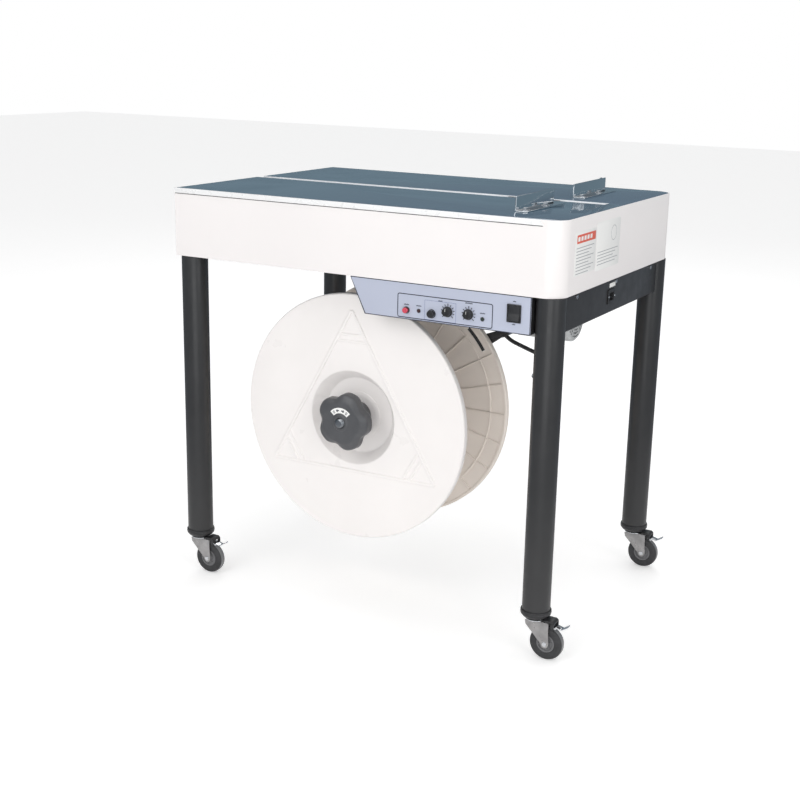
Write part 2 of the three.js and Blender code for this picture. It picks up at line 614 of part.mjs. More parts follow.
function pinchRoller() {
  const { pinch, halfWidth, pin } = FEED;
  const bore = pin + GAP;
  return turned([[bore, -halfWidth], [pinch, -halfWidth], [pinch, halfWidth], [bore, halfWidth]], 16);
}

// A presser: a flat-topped block on a stem whose rounded foot follows a cam.
function presser(width) {
  const { stem, foot, shoulder, top, halfDepth } = PRESSER;
  const half = width / 2;
  const outline = new THREE.Shape();
  outline.moveTo(-half, top);
  outline.lineTo(-half, shoulder + 3);
  outline.lineTo(-stem, shoulder);
  outline.absarc(0, foot + stem, stem, Math.PI, 2 * Math.PI);
  outline.lineTo(stem, shoulder);
  outline.lineTo(half, shoulder + 3);
  outline.lineTo(half, top);
  outline.closePath();
  return facingPlate(outline, [-halfDepth, halfDepth]);
}

function anvil() {
  const plate = block([HEAD.left - 2, HEAD.right + 2], [-9, 9], [SLOT.floor, SLOT.floor + 5.4]);
  return join(plate, block([195, 219], [8, 40], [SLOT.floor + 0.5, SLOT.floor + 4]));
}

// ---- Casters --------------------------------------------------------------------------------------------
// Each caster is drawn about its swivel axis, with the wheel trailing to the right.
function casterFork() {
  const { trail, wheelRadius, cheekInner, cheekOuter, stem, crown, length, boss, hoodTop } = CASTER;
  const [back, front] = length;
  const plate = block(length, [-cheekOuter, cheekOuter], crown);
  const race = turnedUpright([[0, 68], [16, 68], [18, 71], [12, hoodTop], [0, hoodTop]], 16);
  const kingpin = rodZ(stem, [hoodTop - 1, 86], 0, 0, 12);
  const cheek = new THREE.Shape();
  cheek.moveTo(back, crown[1]);
  cheek.lineTo(back + 1.5, crown[0] - 6);
  cheek.lineTo(trail - boss, wheelRadius);
  cheek.absarc(trail, wheelRadius, boss, Math.PI, 2 * Math.PI);
  cheek.lineTo(front, crown[1]);
  cheek.closePath();
  const cheekSpans = [[-cheekOuter, -cheekInner], [cheekInner, cheekOuter]];
  const cheeks = cheekSpans.map((span) => facingPlate(cheek, span, 5));
  const axle = rodY(4, [-cheekOuter - 2, cheekOuter + 2], trail, wheelRadius, 12);
  const hoodOutline = polygon([[14, 68], [38.5, 68], [38.5, 71], [35, hoodTop], [17, hoodTop], [14, 72]]);
  const hood = facingPlate(hoodOutline, [-cheekOuter, cheekOuter]);
  const ears = cheekSpans.map((span) => block([32, 38.5], span, [59.5, 69]));
  return join(plate, race, kingpin, ...cheeks, axle, hood, ...ears);
}

// A tyre on a narrower hub; a flat of its rim rests on the floor.
function casterWheel() {
  const segments = 20;
  const half = CASTER.wheelHalf;
  const rim = CASTER.wheelRadius / Math.cos(Math.PI / segments);
  const wheel = turned([
    [4.4, -half], [9, -half], [15, 2 - half], [rim - 2, 1 - half], [rim, 4 - half],
    [rim, half - 4], [rim - 2, half - 1], [15, half - 2], [9, half], [4.4, half],
  ], segments);
  return wheel.rotateY(Math.PI / segments);
}

// A lever hinged between the hood's ears, with a shoe under it and an upturned end for the foot.
function brakePedal() {
  const shape = polygon([
    [31.5, 61], [36, 61], [36.5, 58.1], [40, 58.1], [40.5, 61], [50, 59.2],
    [61.5, 66], [60.5, 68.2], [49.5, 62], [41, 64.5], [31.5, 64.5],
  ]);
  return facingPlate(shape, [-9.6, 9.6]);
}

// ---- Assembly -------------------------------------------------------------------------------------------
const machine = new THREE.Group();

function place(name, geometry, material, [x, y, z] = [0, 0, 0], parent = machine) {
  const mesh = new THREE.Mesh(geometry, material);
  mesh.name = name;
  mesh.position.set(x, y, z);
  parent.add(mesh);
}

place('apron', apron(), WHITE_PAINT);
place('base_frame', baseFrame(), BLACK_PAINT);
place('side_beam', sideBeam(), BLACK_PAINT);
place('strap_channel', strapChannel(), STAINLESS);
place('front_edge_trim', frontEdgeTrim(), STAINLESS);
place('power_inlet', powerInlet(), BLACK_PLASTIC);

place('top_plate_front', topPlate(-1), BLUE_PAINT, [0, 0, TABLE.height - TABLE.sheet]);
place('top_plate_rear', topPlate(1), BLUE_PAINT, [0, 0, TABLE.height - TABLE.sheet]);
place('stopper_front', stopper(-1, false), STAINLESS, [0, 0, TABLE.height]);
place('stopper_rear', stopper(1, true), STAINLESS, [0, 0, TABLE.height]);

place('control_box', controlBox(), BLACK_PAINT);
place('control_panel', controlPanel(), PANEL_GREY);
place('control_board', controlBoard(), CIRCUIT_GREEN);
const panelControls = [
  ['reset_button', CONTROLS.reset, pushButton(CONTROLS.reset), RED_PLASTIC],
  ['feed_button', CONTROLS.feedButton, pushButton(CONTROLS.feedButton), BLACK_PLASTIC],
  ['feed_knob', CONTROLS.feedKnob, dialKnob(), BLACK_PLASTIC],
  ['tension_knob', CONTROLS.tensionKnob, dialKnob(), BLACK_PLASTIC],
  ['error_lamp', CONTROLS.errorLamp, lamp(CONTROLS.errorLamp), RED_PLASTIC],
  ['power_lamp', CONTROLS.powerLamp, lamp(CONTROLS.powerLamp), GREEN_PLASTIC],
];
for (const [name, spot, geometry, material] of panelControls) {
  place(name, geometry, material, [spot.x, 0, spot.z]);
}
place('power_rocker', powerRocker(), BLACK_PLASTIC, [CONTROLS.rocker.x, PANEL.front, CONTROLS.rocker.z]);

const reel = new THREE.Group();
reel.position.set(REEL.x, 0, REEL.z);
machine.add(reel);
place('reel_drum', reelDrum(), REEL_GREY, [0, 0, 0], reel);
place('rear_flange', rearFlange(), REEL_GREY, [0, 0, 0], reel);
place('front_flange', frontFlange(), REEL_WHITE, [0, 0, 0], reel);
place('reel_knob', reelKnob(), BLACK_PLASTIC, [0, 0, 0], reel);
place('reel_shaft', reelShaft(), STEEL, [0, 0, 0], reel);
place('reel_bracket', reelBracket(), BLACK_PAINT);
place('brake_lever', brakeLever(), BLACK_PAINT);
place('guide_roller', guideRoller(), BLACK_PLASTIC, [BRAKE.rollerX, 0, BRAKE.rollerZ]);

place('mechanism_frame', mechanismFrame(), ZINC);
place('camshaft', camshaft(), STEEL);
place('motor_pulley', motorPulley(), STEEL);
place('drive_belt', driveBelt(), RUBBER);
place('main_motor', mainMotor(), MOTOR_GREY, [0, DRIVE.motorY, DRIVE.motorZ]);
place('anvil', anvil(), STEEL);
for (const { name, x, width } of PRESSERS) place(name, presser(width), STEEL, [x, 0, 0]);
place('feed_roller', feedRoller(), RUBBER, [FEED.rollerX, 0, FEED.z]);
place('pinch_roller', pinchRoller(), STEEL, [FEED.pinchX, 0, FEED.z]);
place('feed_motor', feedMotor(), MOTOR_GREY, [FEED.rollerX, 0, FEED.z]);

for (const [end, y] of [['front', LEG.inset - BACK], ['rear', BACK - LEG.inset]]) {
  for (const [side, x] of [['left', LEG.inset - RIGHT], ['right', RIGHT - LEG.inset]]) {
    const corner = new THREE.Group();
    corner.position.set(x, y, 0);
    machine.add(corner);
    place(`leg_${end}_${side}`, leg(), BLACK_PAINT, [0, 0, 0], corner);
    place(`foot_cap_${end}_${side}`, footCap(), BLACK_PLASTIC, [0, 0, 0], corner);
    place(`caster_fork_${end}_${side}`, casterFork(), ZINC, [0, 0, 0], corner);
    place(`caster_wheel_${end}_${side}`, casterWheel(), RUBBER, [CASTER.trail, 0, CASTER.wheelRadius], corner);
    place(`brake_pedal_${end}_${side}`, brakePedal(), ZINC, [0, 0, 0], corner);
  }
}

// The origin is the middle of the footprint of everything, on the floor.
const extent = new THREE.Box3().setFromObject(machine, true);
const middle = extent.getCenter(new THREE.Vector3());
machine.position.set(-middle.x, -middle.y, 0);
machine.updateMatrixWorld(true);

export default machine;
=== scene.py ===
"""Looks of a semi-automatic strapping machine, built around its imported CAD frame.

Shapes are worked out in millimetres in the frame's own axes and turned into metres when a mesh is made.
Most places and sizes are read from the boxes of the CAD nodes.
"""
import math

import bmesh
import bpy
from mathutils import Matrix, Vector, geometry


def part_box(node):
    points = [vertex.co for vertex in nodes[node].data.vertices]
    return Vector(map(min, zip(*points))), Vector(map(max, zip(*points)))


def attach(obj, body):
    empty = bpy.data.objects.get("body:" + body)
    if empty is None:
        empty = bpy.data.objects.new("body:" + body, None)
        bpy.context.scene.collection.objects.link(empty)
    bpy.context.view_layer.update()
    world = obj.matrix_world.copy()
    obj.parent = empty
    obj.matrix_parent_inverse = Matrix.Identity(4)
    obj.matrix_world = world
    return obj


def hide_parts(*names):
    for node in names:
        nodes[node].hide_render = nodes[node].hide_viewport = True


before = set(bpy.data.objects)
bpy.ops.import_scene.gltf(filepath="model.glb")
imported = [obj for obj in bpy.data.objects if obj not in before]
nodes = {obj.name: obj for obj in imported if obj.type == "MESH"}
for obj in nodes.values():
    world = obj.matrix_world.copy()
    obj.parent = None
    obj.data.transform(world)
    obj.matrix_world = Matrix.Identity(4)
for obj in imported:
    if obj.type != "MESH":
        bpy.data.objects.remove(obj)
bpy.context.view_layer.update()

MM = 0.001
X, Y, Z = Vector((1, 0, 0)), Vector((0, 1, 0)), Vector((0, 0, 1))


class Box:
    """A CAD node's box at rest, in millimetres."""

    def __init__(self, node):
        low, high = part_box(node)
        self.x0, self.y0, self.z0 = (value / MM for value in low)
        self.x1, self.y1, self.z1 = (value / MM for value in high)
        self.x, self.y, self.z = (self.x0 + self.x1) / 2, (self.y0 + self.y1) / 2, (self.z0 + self.z1) / 2
        self.wide, self.deep, self.tall = self.x1 - self.x0, self.y1 - self.y0, self.z1 - self.z0


# ---- Materials --------------------------------------------------------------------------------------------
MIX_FACTOR, MIX_A, MIX_B, MIX_RESULT = 0, 6, 7, 2  # the colour sockets of a Mix node


def srgb(red, green, blue):
    """A linear colour from display values of 0 to 255."""
    def linear(value):
        value /= 255
        return value / 12.92 if value <= 0.04045 else ((value + 0.055) / 1.055) ** 2.4
    return (linear(red), linear(green), linear(blue), 1.0)


def shade(colour, factor):
    """The colour made darker or lighter."""
    return (*(channel * factor for channel in colour[:3]), 1.0)


def put(tree, kind, inputs=None, **settings):
    """Adds a shader node. Its inputs are plain values or the outputs of other nodes."""
    made = tree.nodes.new(f"ShaderNode{kind}")
    for name, value in settings.items():
        setattr(made, name, value)
    for socket, value in (inputs or {}).items():
        if isinstance(value, bpy.types.NodeSocket):
            tree.links.new(value, made.inputs[socket])
        else:
            made.inputs[socket].default_value = value
    return made


def mix(tree, factor, first, second):
    """The blend of two colours."""
    sockets = {MIX_FACTOR: factor, MIX_A: first, MIX_B: second}
    return put(tree, "Mix", sockets, data_type="RGBA").outputs[MIX_RESULT]


def material(name, colour, rough, metal=0.0, coat=0.0, coat_rough=0.08, specular=0.5, rough_spread=0.06,
             mottle=0.05, mottle_scale=9, grain=500, grain_depth=0.02, brush=None, brush_depth=0.03,
             wear=None, speckle=None):
    """A principled surface whose colour, roughness and relief all vary with noise.

    brush stretches a fine grain along one axis (a metal's brushing); wear is the colour of rubbed edges;
    speckle is (scale, strength) of a second, coarser relief.
    """
    mat = bpy.data.materials.new(name)
    mat.use_nodes = True
    tree = mat.node_tree
    link = tree.links.new
    shader = tree.nodes["Principled BSDF"].inputs
    shader["Metallic"].default_value = metal
    shader["Coat Weight"].default_value = coat
    shader["Specular IOR Level"].default_value = specular
    shader["Coat Roughness"].default_value = coat_rough
    place = put(tree, "TexCoord").outputs["Object"]

    def noise(scale, detail, stretch=None):
        source = place
        if stretch is not None:
            source = put(tree, "Mapping", {"Vector": place, "Scale": stretch}).outputs["Vector"]
        return put(tree, "TexNoise", {"Vector": source, "Scale": scale, "Detail": detail}).outputs["Fac"]

    def spread(value, low, high, start=0.3, end=0.7):
        limits = {"From Min": start, "From Max": end, "To Min": low, "To Max": high}
        return put(tree, "MapRange", {"Value": value, **limits}).outputs["Result"]

    patches = spread(noise(mottle_scale, 4.0), 0.0, 1.0)
    tone = mix(tree, patches, shade(colour, 1 - mottle), shade(colour, 1 + mottle / 3))
    if wear is not None:
        edges = spread(put(tree, "NewGeometry").outputs["Pointiness"], 0.0, 1.0, 0.52, 0.6)
        chips = spread(noise(140, 5.0), 0.0, 0.8, 0.42, 0.62)
        rubbed = put(tree, "Math", {0: edges, 1: chips}, operation="MULTIPLY").outputs[0]
        tone = mix(tree, rubbed, tone, wear)
    link(tone, shader["Base Color"])
    sheen = spread(noise(mottle_scale * 3.1, 5.0), rough - rough_spread, rough + rough_spread)
    link(sheen, shader["Roughness"])

    reliefs = [(noise(grain, 2.0), grain_depth)]
    if brush is not None:
        stretch = tuple(0.04 if axis == brush else 1.0 for axis in "xyz")
        reliefs.append((noise(1400, 2.0, stretch), brush_depth))
    if speckle is not None:
        scale, depth = speckle
        reliefs.append((noise(scale, 3.0), depth))
    below = {}
    for height, depth in reliefs:
        strength = min(1.0, depth * 8)
        bump = put(tree, "Bump", {"Strength": strength, "Distance": depth * MM, "Height": height, **below})
        below = {"Normal": bump.outputs["Normal"]}
    link(below["Normal"], shader["Normal"])
    return mat


IVORY = material("ivory_powder_coat", srgb(246, 242, 241), 0.34, coat=0.25, grain=420, grain_depth=0.035,
                 mottle=0.02, mottle_scale=5)
SLATE = material("slate_gloss_paint", srgb(84, 108, 128), 0.07, coat=0.3, coat_rough=0.02, specular=0.4,
                 rough_spread=0.02, mottle=0.05, mottle_scale=4, grain=900, grain_depth=0.004)
BLACK = material("black_powder_coat", srgb(50, 50, 51), 0.36, coat=0.15, coat_rough=0.2, grain=600,
                 grain_depth=0.03, mottle=0.1, mottle_scale=16)
STAINLESS = material("polished_stainless", srgb(222, 225, 228), 0.06, metal=1.0, rough_spread=0.025,
                     mottle=0.04, grain=1500, grain_depth=0.002, brush="x", brush_depth=0.003)
CHANNEL_STEEL = material("satin_channel_steel", srgb(244, 245, 247), 0.42, metal=0.35, mottle=0.04,
                         mottle_scale=20, brush="x", brush_depth=0.01)
# The trim is nearly white and barely metallic as a painted reflection: its white stands for the bright studio
# mirrored in the polished strip.
TRIM_STEEL_PAINTED_REFLECTION = material("trim_steel_painted_reflection", srgb(252, 252, 252), 0.3, metal=0.1, mottle=0.03, mottle_scale=20,
                      grain=900, grain_depth=0.004)
ZINC = material("zinc_plate", srgb(196, 199, 203), 0.3, metal=1.0, rough_spread=0.1, mottle=0.18,
                mottle_scale=60, grain=900, grain_depth=0.015, speckle=(220, 0.02))
FORK_STEEL = material("bright_zinc_plate", srgb(178, 176, 176), 0.34, metal=0.75, rough_spread=0.1,
                      mottle=0.25, mottle_scale=50, grain=900, grain_depth=0.02, speckle=(260, 0.05))
CHROME = material("chrome", srgb(225, 227, 230), 0.08, metal=1.0, rough_spread=0.03, mottle=0.03, grain=800,
                  grain_depth=0.003)
STEEL = material("machined_steel", srgb(150, 153, 157), 0.3, metal=1.0, rough_spread=0.08, mottle=0.15,
                 mottle_scale=30, brush="y", brush_depth=0.02)
PANEL = material("panel_film", srgb(187, 193, 211), 0.42, coat=0.2, coat_rough=0.25, mottle=0.02, grain=1100,
                 grain_depth=0.02)
INK = material("dark_print", srgb(46, 50, 66), 0.4, mottle=0.08, grain=900, grain_depth=0.01)
BLUE_INK = material("blue_print", srgb(54, 84, 150), 0.4, mottle=0.06, grain=900, grain_depth=0.01)
GREY_INK = material("grey_print", srgb(168, 170, 174), 0.4, mottle=0.06, grain=900, grain_depth=0.01)
RED_INK = material("red_print", srgb(226, 104, 84), 0.4, mottle=0.06, grain=900, grain_depth=0.01)
PAPER = material("white_sticker", srgb(244, 244, 242), 0.38, coat=0.3, mottle=0.03, grain=700,
                 grain_depth=0.01)
MOTOR_PAINT = material("motor_cast_paint", srgb(196, 198, 199), 0.42, metal=0.15, grain=260, grain_depth=0.12,
                       mottle=0.1, mottle_scale=25, wear=srgb(222, 223, 224))
REEL_WHITE = material("reel_white_enamel", srgb(250, 246, 244), 0.33, coat=0.3, coat_rough=0.15, mottle=0.03,
                      mottle_scale=7, grain=240, grain_depth=0.03)
REEL_BEIGE = material("reel_moulded_plastic", srgb(241, 232, 223), 0.45, mottle=0.07, mottle_scale=11,
                      grain=500, grain_depth=0.05)
BAKELITE = material("knob_bakelite", srgb(84, 85, 88), 0.36, coat=0.15, coat_rough=0.3, mottle=0.12,
                    mottle_scale=40, grain=700, grain_depth=0.08, speckle=(180, 0.05),
                    wear=srgb(112, 114, 118))
PLASTIC = material("black_moulded_plastic", srgb(44, 44, 46), 0.38, mottle=0.12, mottle_scale=50, grain=900,
                   grain_depth=0.04, wear=srgb(84, 85, 88))
HUB_PLASTIC = material("grey_moulded_plastic", srgb(112, 112, 114), 0.36, mottle=0.08, mottle_scale=50,
                       grain=900, grain_depth=0.04)
RUBBER = material("rubber", srgb(58, 58, 60), 0.6, rough_spread=0.12, mottle=0.25, mottle_scale=70, grain=600,
                  grain_depth=0.1, wear=srgb(66, 66, 66))
# The tread's lighter grey with a coat is a painted sheen: it stands for light reflected off the tyre's
# running face.
TREAD_SHEEN = material("tread_painted_sheen", srgb(122, 123, 125), 0.34, coat=0.2, mottle=0.2, mottle_scale=60, grain=500,
                 grain_depth=0.06)
RED = material("red_button_plastic", srgb(214, 78, 96), 0.25, coat=0.4, mottle=0.06, grain=700,
               grain_depth=0.015)
AMBER = material("red_lens", srgb(64, 22, 26), 0.12, coat=0.8, mottle=0.1, mottle_scale=120, grain=900,
                 grain_depth=0.01)
GREEN = material("green_lens", srgb(22, 44, 32), 0.12, coat=0.8, mottle=0.1, mottle_scale=120, grain=900,
                 grain_depth=0.01)
BOARD = material("circuit_board", srgb(34, 98, 60), 0.35, coat=0.4, mottle=0.3, mottle_scale=160, grain=500,
                 grain_depth=0.05)

# The CAD model's material slot that each surface stands for. Prints and stickers have none.
SLOTS = {
    "white_paint": (IVORY,), "blue_paint": (SLATE,), "black_paint": (BLACK,), "panel_grey": (PANEL,),
    "polished_steel": (STAINLESS, CHANNEL_STEEL, TRIM_STEEL_PAINTED_REFLECTION), "zinc_steel": (ZINC, FORK_STEEL, CHROME),
    "machined_steel": (STEEL,), "motor_grey": (MOTOR_PAINT,), "circuit_green": (BOARD,),
    "reel_white": (REEL_WHITE,), "reel_grey": (REEL_BEIGE,), "rubber": (RUBBER, TREAD_SHEEN),
    "black_plastic": (PLASTIC, HUB_PLASTIC, BAKELITE), "red_plastic": (RED, AMBER), "green_lens": (GREEN,),
}
slot_of = {surface.name: slot for slot, surfaces in SLOTS.items() for surface in surfaces}


# ---- Outlines and shapes, all in millimetres ---------------------------------------------------------------
def rounded(points, radius=0.0, steps=5):
    """A closed 2-D outline with its corners rounded; a point may carry its own radius as a third value."""
    made = []
    count = len(points)
    for i, point in enumerate(points):
        here = Vector(point[:2])
        size = point[2] if len(point) > 2 else radius
        before = Vector(points[i - 1][:2]) - here
        after = Vector(points[(i + 1) % count][:2]) - here
        angle = before.angle(after, math.pi)
        if size <= 0 or angle > math.pi - 0.01:
            made.append(tuple(here))
            continue
        reach = size / math.tan(angle / 2)
        limit = min(before.length, after.length) * 0.499
        if reach > limit:
            size, reach = size * limit / reach, limit
        start, end = here + before.normalized() * reach, here + after.normalized() * reach
        centre = here + (before.normalized() + after.normalized()).normalized() * (size / math.sin(angle / 2))
        first, last = start - centre, end - centre
        turn = math.atan2(first.x * last.y - first.y * last.x, first.dot(last))
        for k in range(steps + 1):
            swing = Matrix.Rotation(turn * k / steps, 2)
            made.append(tuple(centre + swing @ first))
    return made


def rectangle(x0, x1, y0, y1, radius=0.0):
    """A rectangle's outline, its corners rounded on request."""
    return rounded([(x0, y0), (x1, y0), (x1, y1), (x0, y1)], radius)


def patch(x, y, half_x, half_y, radius=0.0):
    """A rectangle about a point, from its half sizes."""
    return rectangle(x - half_x, x + half_x, y - half_y, y + half_y, radius)


def circle(radius, x=0.0, y=0.0, count=48):
    """A circle's outline, or a regular polygon's with a low count."""
    return [(x + radius * math.cos(a), y + radius * math.sin(a)) for a in angles(count)]


def angles(count, start=0.0):
    """Equal steps round a full turn, in radians, from a start in degrees."""
    return [math.radians(start) + 2 * math.pi * i / count for i in range(count)]


def arc_band(inner, outer, start, end, x, y, steps):
    """A curved strip between two radii, from one angle to another in degrees."""
    turns = [math.radians(start + (end - start) * k / steps) for k in range(steps + 1)]
    rim = [(x + outer * math.cos(a), y + outer * math.sin(a)) for a in turns]
    return rim + [(x + inner * math.cos(a), y + inner * math.sin(a)) for a in reversed(turns)]


def inset(loop, distance):
    """The loop moved to its left by a distance, corner by corner."""
    made = []
    count = len(loop)
    for i in range(count):
        here = Vector(loop[i])
        before = (here - Vector(loop[i - 1])).normalized()
        after = (Vector(loop[(i + 1) % count]) - here).normalized()
        side = Vector((-before.y - after.y, before.x + after.x))
        if side.length < 1e-6:
            side = Vector((-before.y, before.x))
        side.normalize()
        stretch = max(0.35, side.dot(Vector((-before.y, before.x))))
        made.append(tuple(here + side * distance / stretch))
    return made


def signed_area(loop):
    """Positive when the loop runs anticlockwise."""
    return sum(a[0] * b[1] - b[0] * a[1] for a, b in zip(loop, loop[1:] + loop[:1])) / 2


PLANES = {
    "XY": lambda u, v, w: (u, v, w),
    "XZ": lambda u, v, w: (u, w, v),
    "YZ": lambda u, v, w: (w, u, v),
}


def slab(outline, low, high, plane="XY", holes=(), bevel=0.4, steps=3, edges=(True, True)):
    """A plate with that outline and those holes, its long edges rounded at the low and high faces."""
    loops = [list(outline)] + [list(hole) for hole in holes]
    for i, loop in enumerate(loops):
        if (signed_area(loop) > 0) != (i == 0):
            loop.reverse()
    turns = [k / steps * math.pi / 2 for k in range(steps + 1)]
    curve = [(bevel * (1 - math.sin(turn)), bevel * (1 - math.cos(turn))) for turn in turns]
    bottom = [(shift, low + rise) for shift, rise in curve] if edges[0] else [(0.0, low)]
    top = [(shift, high - rise) for shift, rise in reversed(curve)] if edges[1] else [(0.0, high)]
    levels = bottom + top
    verts, faces, rings = [], [], []
    for shift, level in levels:
        rings.append([])
        for loop in loops:
            rings[-1].append((len(verts), len(loop)))
            verts += [PLANES[plane](u, v, level) for u, v in inset(loop, shift)]
    for lower, upper in zip(rings, rings[1:]):
        for (a, count), (b, count) in zip(lower, upper):
            faces += [(a + i, a + (i + 1) % count, b + (i + 1) % count, b + i) for i in range(count)]
    for ring, shift in ((rings[0], levels[0][0]), (rings[-1], levels[-1][0])):
        flat = [[Vector((*point, 0)) for point in inset(loop, shift)] for loop in loops]
        offsets = [start + i for start, count in ring for i in range(count)]
        faces += [tuple(offsets[i] for i in triangle) for triangle in geometry.tessellate_polygon(flat)]
    return verts, faces


def axis_frame(origin, direction):
    """A matrix whose Z runs along a direction from an origin."""
    turn = Z.rotation_difference(Vector(direction)).to_matrix().to_4x4()
    return Matrix.Translation(Vector(origin)) @ turn


def lathe(profile, origin, direction, segments, steps=4, swell=None):
    """A closed (radius, height) profile turned about an axis; swell(angle, radius) may bend the radius."""
    loop = rounded(profile, steps=steps)
    place = axis_frame(origin, direction)
    count = len(loop)
    verts, faces = [], []
    for turn in angles(segments):
        for r, height in loop:
            reach = swell(turn, r) if swell and r > 0 else r
            verts.append(tuple(place @ Vector((reach * math.cos(turn), reach * math.sin(turn), height))))
    for s in range(segments):
        following = (s + 1) % segments
        for i in range(count):
            j = (i + 1) % count
            if loop[i][0] < 1e-6 and loop[j][0] < 1e-6:
                continue
            faces.append((s * count + i, s * count + j, following * count + j, following * count + i))
    return verts, faces


def even(half, low, high):
    """A lathe profile that is the same from both ends, given by its half at the low end."""
    return ([(radius, low + rise, *fillet) for radius, rise, *fillet in half]
            + [(radius, high - rise, *fillet) for radius, rise, *fillet in reversed(half)])


def spun(profile, x, z, segments=96, y=0.0, **shape):
    """A lathe about a line along Y."""
    return lathe(profile, (x, y, z), Y, segments, **shape)


def rod(radius, start, end, segments=32, bevel=0.5):
    """A round bar between two points, with softened ends."""
    run = Vector(end) - Vector(start)
    return lathe(even([(0, 0), (radius, 0, bevel)], 0, run.length), start, run, segments, steps=3)


def ring(radius, wire, origin, direction, segments, sides):
    """A torus about an axis."""
    return lathe([(radius + x, y) for x, y in circle(wire, count=sides)], origin, direction, segments)


def bent_rod(points, radius, bend, segments, steps=8):
    """A round wire along a polyline whose corners are bent to a radius."""
    corners = [Vector(point) for point in points]
    path = [corners[0]]
    for before, here, after in zip(corners, corners[1:], corners[2:]):
        back, forth = (before - here), (after - here)
        reach = min(bend, back.length * 0.45, forth.length * 0.45)
        start, end = here + back.normalized() * reach, here + forth.normalized() * reach
        for k in range(steps + 1):
            t = k / steps
            path.append(start * (1 - t) ** 2 + here * 2 * t * (1 - t) + end * t * t)
    path.append(corners[-1])
    verts, faces = [], []
    side = (path[1] - path[0]).normalized().orthogonal().normalized()
    for i, point in enumerate(path):
        forward = (path[min(i + 1, len(path) - 1)] - path[max(i - 1, 0)]).normalized()
        side = (side - forward * side.dot(forward)).normalized()
        other = forward.cross(side)
        for a in angles(segments):
            verts.append(tuple(point + side * radius * math.cos(a) + other * radius * math.sin(a)))
    for i in range(len(path) - 1):
        for s in range(segments):
            t = (s + 1) % segments
            faces.append((i * segments + s, i * segments + t, (i + 1) * segments + t, (i + 1) * segments + s))
    faces.append(tuple(range(segments)))
    faces.append(tuple(len(verts) - segments + s for s in range(segments)))
    return verts, faces


def hex_bolt(origin, direction, across, height, washer=True):
    """A hexagon head with softened edges, on a washer if asked for."""
    place = axis_frame(origin, direction)
    corner = across / math.sqrt(3)
    foot = 1.0 if washer else 0.0
    verts, faces = slab(circle(corner, count=6), foot, foot + height, bevel=0.5)
    shapes = [([tuple(place @ Vector(v)) for v in verts], faces)]
    if washer:
        shapes.append(lathe(even([(0, 0), (across * 0.85, 0, 0.3)], 0, 1), origin, direction, 32))
    return shapes


def socket_screw(origin, direction, radius, height):
    """A round head with a hexagon socket sunk into it."""
    place = axis_frame(origin, direction)
    verts, faces = slab(circle(radius, count=32), 0, height, holes=[circle(radius * 0.5, count=6)], bevel=0.5)
    floor = lathe(even([(0, 0), (radius * 0.6, 0)], 0, height * 0.4), origin, direction, 24)
    return [([tuple(place @ Vector(v)) for v in verts], faces), floor]


# ---- Making pieces -----------------------------------------------------------------------------------------
SHARP = math.radians(38)  # edges that turn by more than this stay hard


def make_mesh(name, shapes):
    """One smooth-shaded object from shapes in millimetres."""
    mesh = bpy.data.meshes.new(name)
    work = bmesh.new()
    for verts, faces in shapes:
        made = [work.verts.new((x * MM, y * MM, z * MM)) for x, y, z in verts]
        for face in faces:
            corners = [made[i] for i in face]
            if len(set(face)) == len(face):
                work.faces.new(corners)
    bmesh.ops.remove_doubles(work, verts=work.verts, dist=2e-7)
    bmesh.ops.dissolve_degenerate(work, edges=work.edges, dist=1e-7)
    bmesh.ops.recalc_face_normals(work, faces=work.faces)
    work.to_mesh(mesh)
    work.free()
    mesh.polygons.foreach_set("use_smooth", [True] * len(mesh.polygons))
    mesh.set_sharp_from_angle(angle=SHARP)
    obj = bpy.data.objects.new(name, mesh)
    bpy.context.scene.collection.objects.link(obj)
    return obj


def piece(name, body, surface, shapes, stands_for=None, slot=None, cutters=()):
    """One visible piece: its mesh, its material, the CAD body it rides on and the CAD node it stands for."""
    obj = make_mesh(name, [shapes] if isinstance(shapes, tuple) else shapes)
    for cutter in cutters:
        carve(obj, cutter)
    if cutters:
        obj.data.set_sharp_from_angle(angle=SHARP)
    obj.data.materials.clear()
    obj.data.materials.append(surface)
    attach(obj, body)
    if stands_for:
        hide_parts(stands_for)
    slot = slot or slot_of.get(surface.name)


def carve(obj, shape):
    """Cuts a shape away from an object's mesh."""
    tool = make_mesh("cutter", [shape])
    change = obj.modifiers.new("cut", "BOOLEAN")
    change.operation, change.solver, change.object = "DIFFERENCE", "EXACT", tool
    bpy.context.view_layer.update()
    result = bpy.data.meshes.new_from_object(obj.evaluated_get(bpy.context.evaluated_depsgraph_get()))
    obj.modifiers.remove(change)
    obj.data = result
    bpy.data.objects.remove(tool)


def dress(node, surface, bevel):
    """Keeps a CAD node as it is, with softened edges and a finished surface."""
    obj = nodes[node]
    obj.data.materials.clear()
    obj.data.materials.append(surface)
    change = obj.modifiers.new("softened_edges", "BEVEL")
    change.width, change.segments = bevel * MM, 2
    change.limit_method, change.angle_limit = "ANGLE", math.radians(40)
    change.harden_normals = True


# ---- Table -------------------------------------------------------------------------------------------------
apron = Box("apron")
channel = Box("strap_channel")
plate = Box("top_plate_front")
MID_X, MID_Y = apron.x, apron.y
CORNER, SHEET, LIP = 32.0, 2.0, plate.x0 - apron.x0
head_left, head_right = Box("anvil").x0 + 2, Box("anvil").x1 - 2


def table_outline(edge):
    """The table from above: near-square corners on the left, rounded ones on the right."""
    return rounded([(apron.x0 + edge, apron.y0 + edge, 1.2),
                    (apron.x1 - edge, apron.y0 + edge, CORNER - edge),
                    (apron.x1 - edge, apron.y1 - edge, CORNER - edge),
                    (apron.x0 + edge, apron.y1 - edge, 1.2)], steps=24)


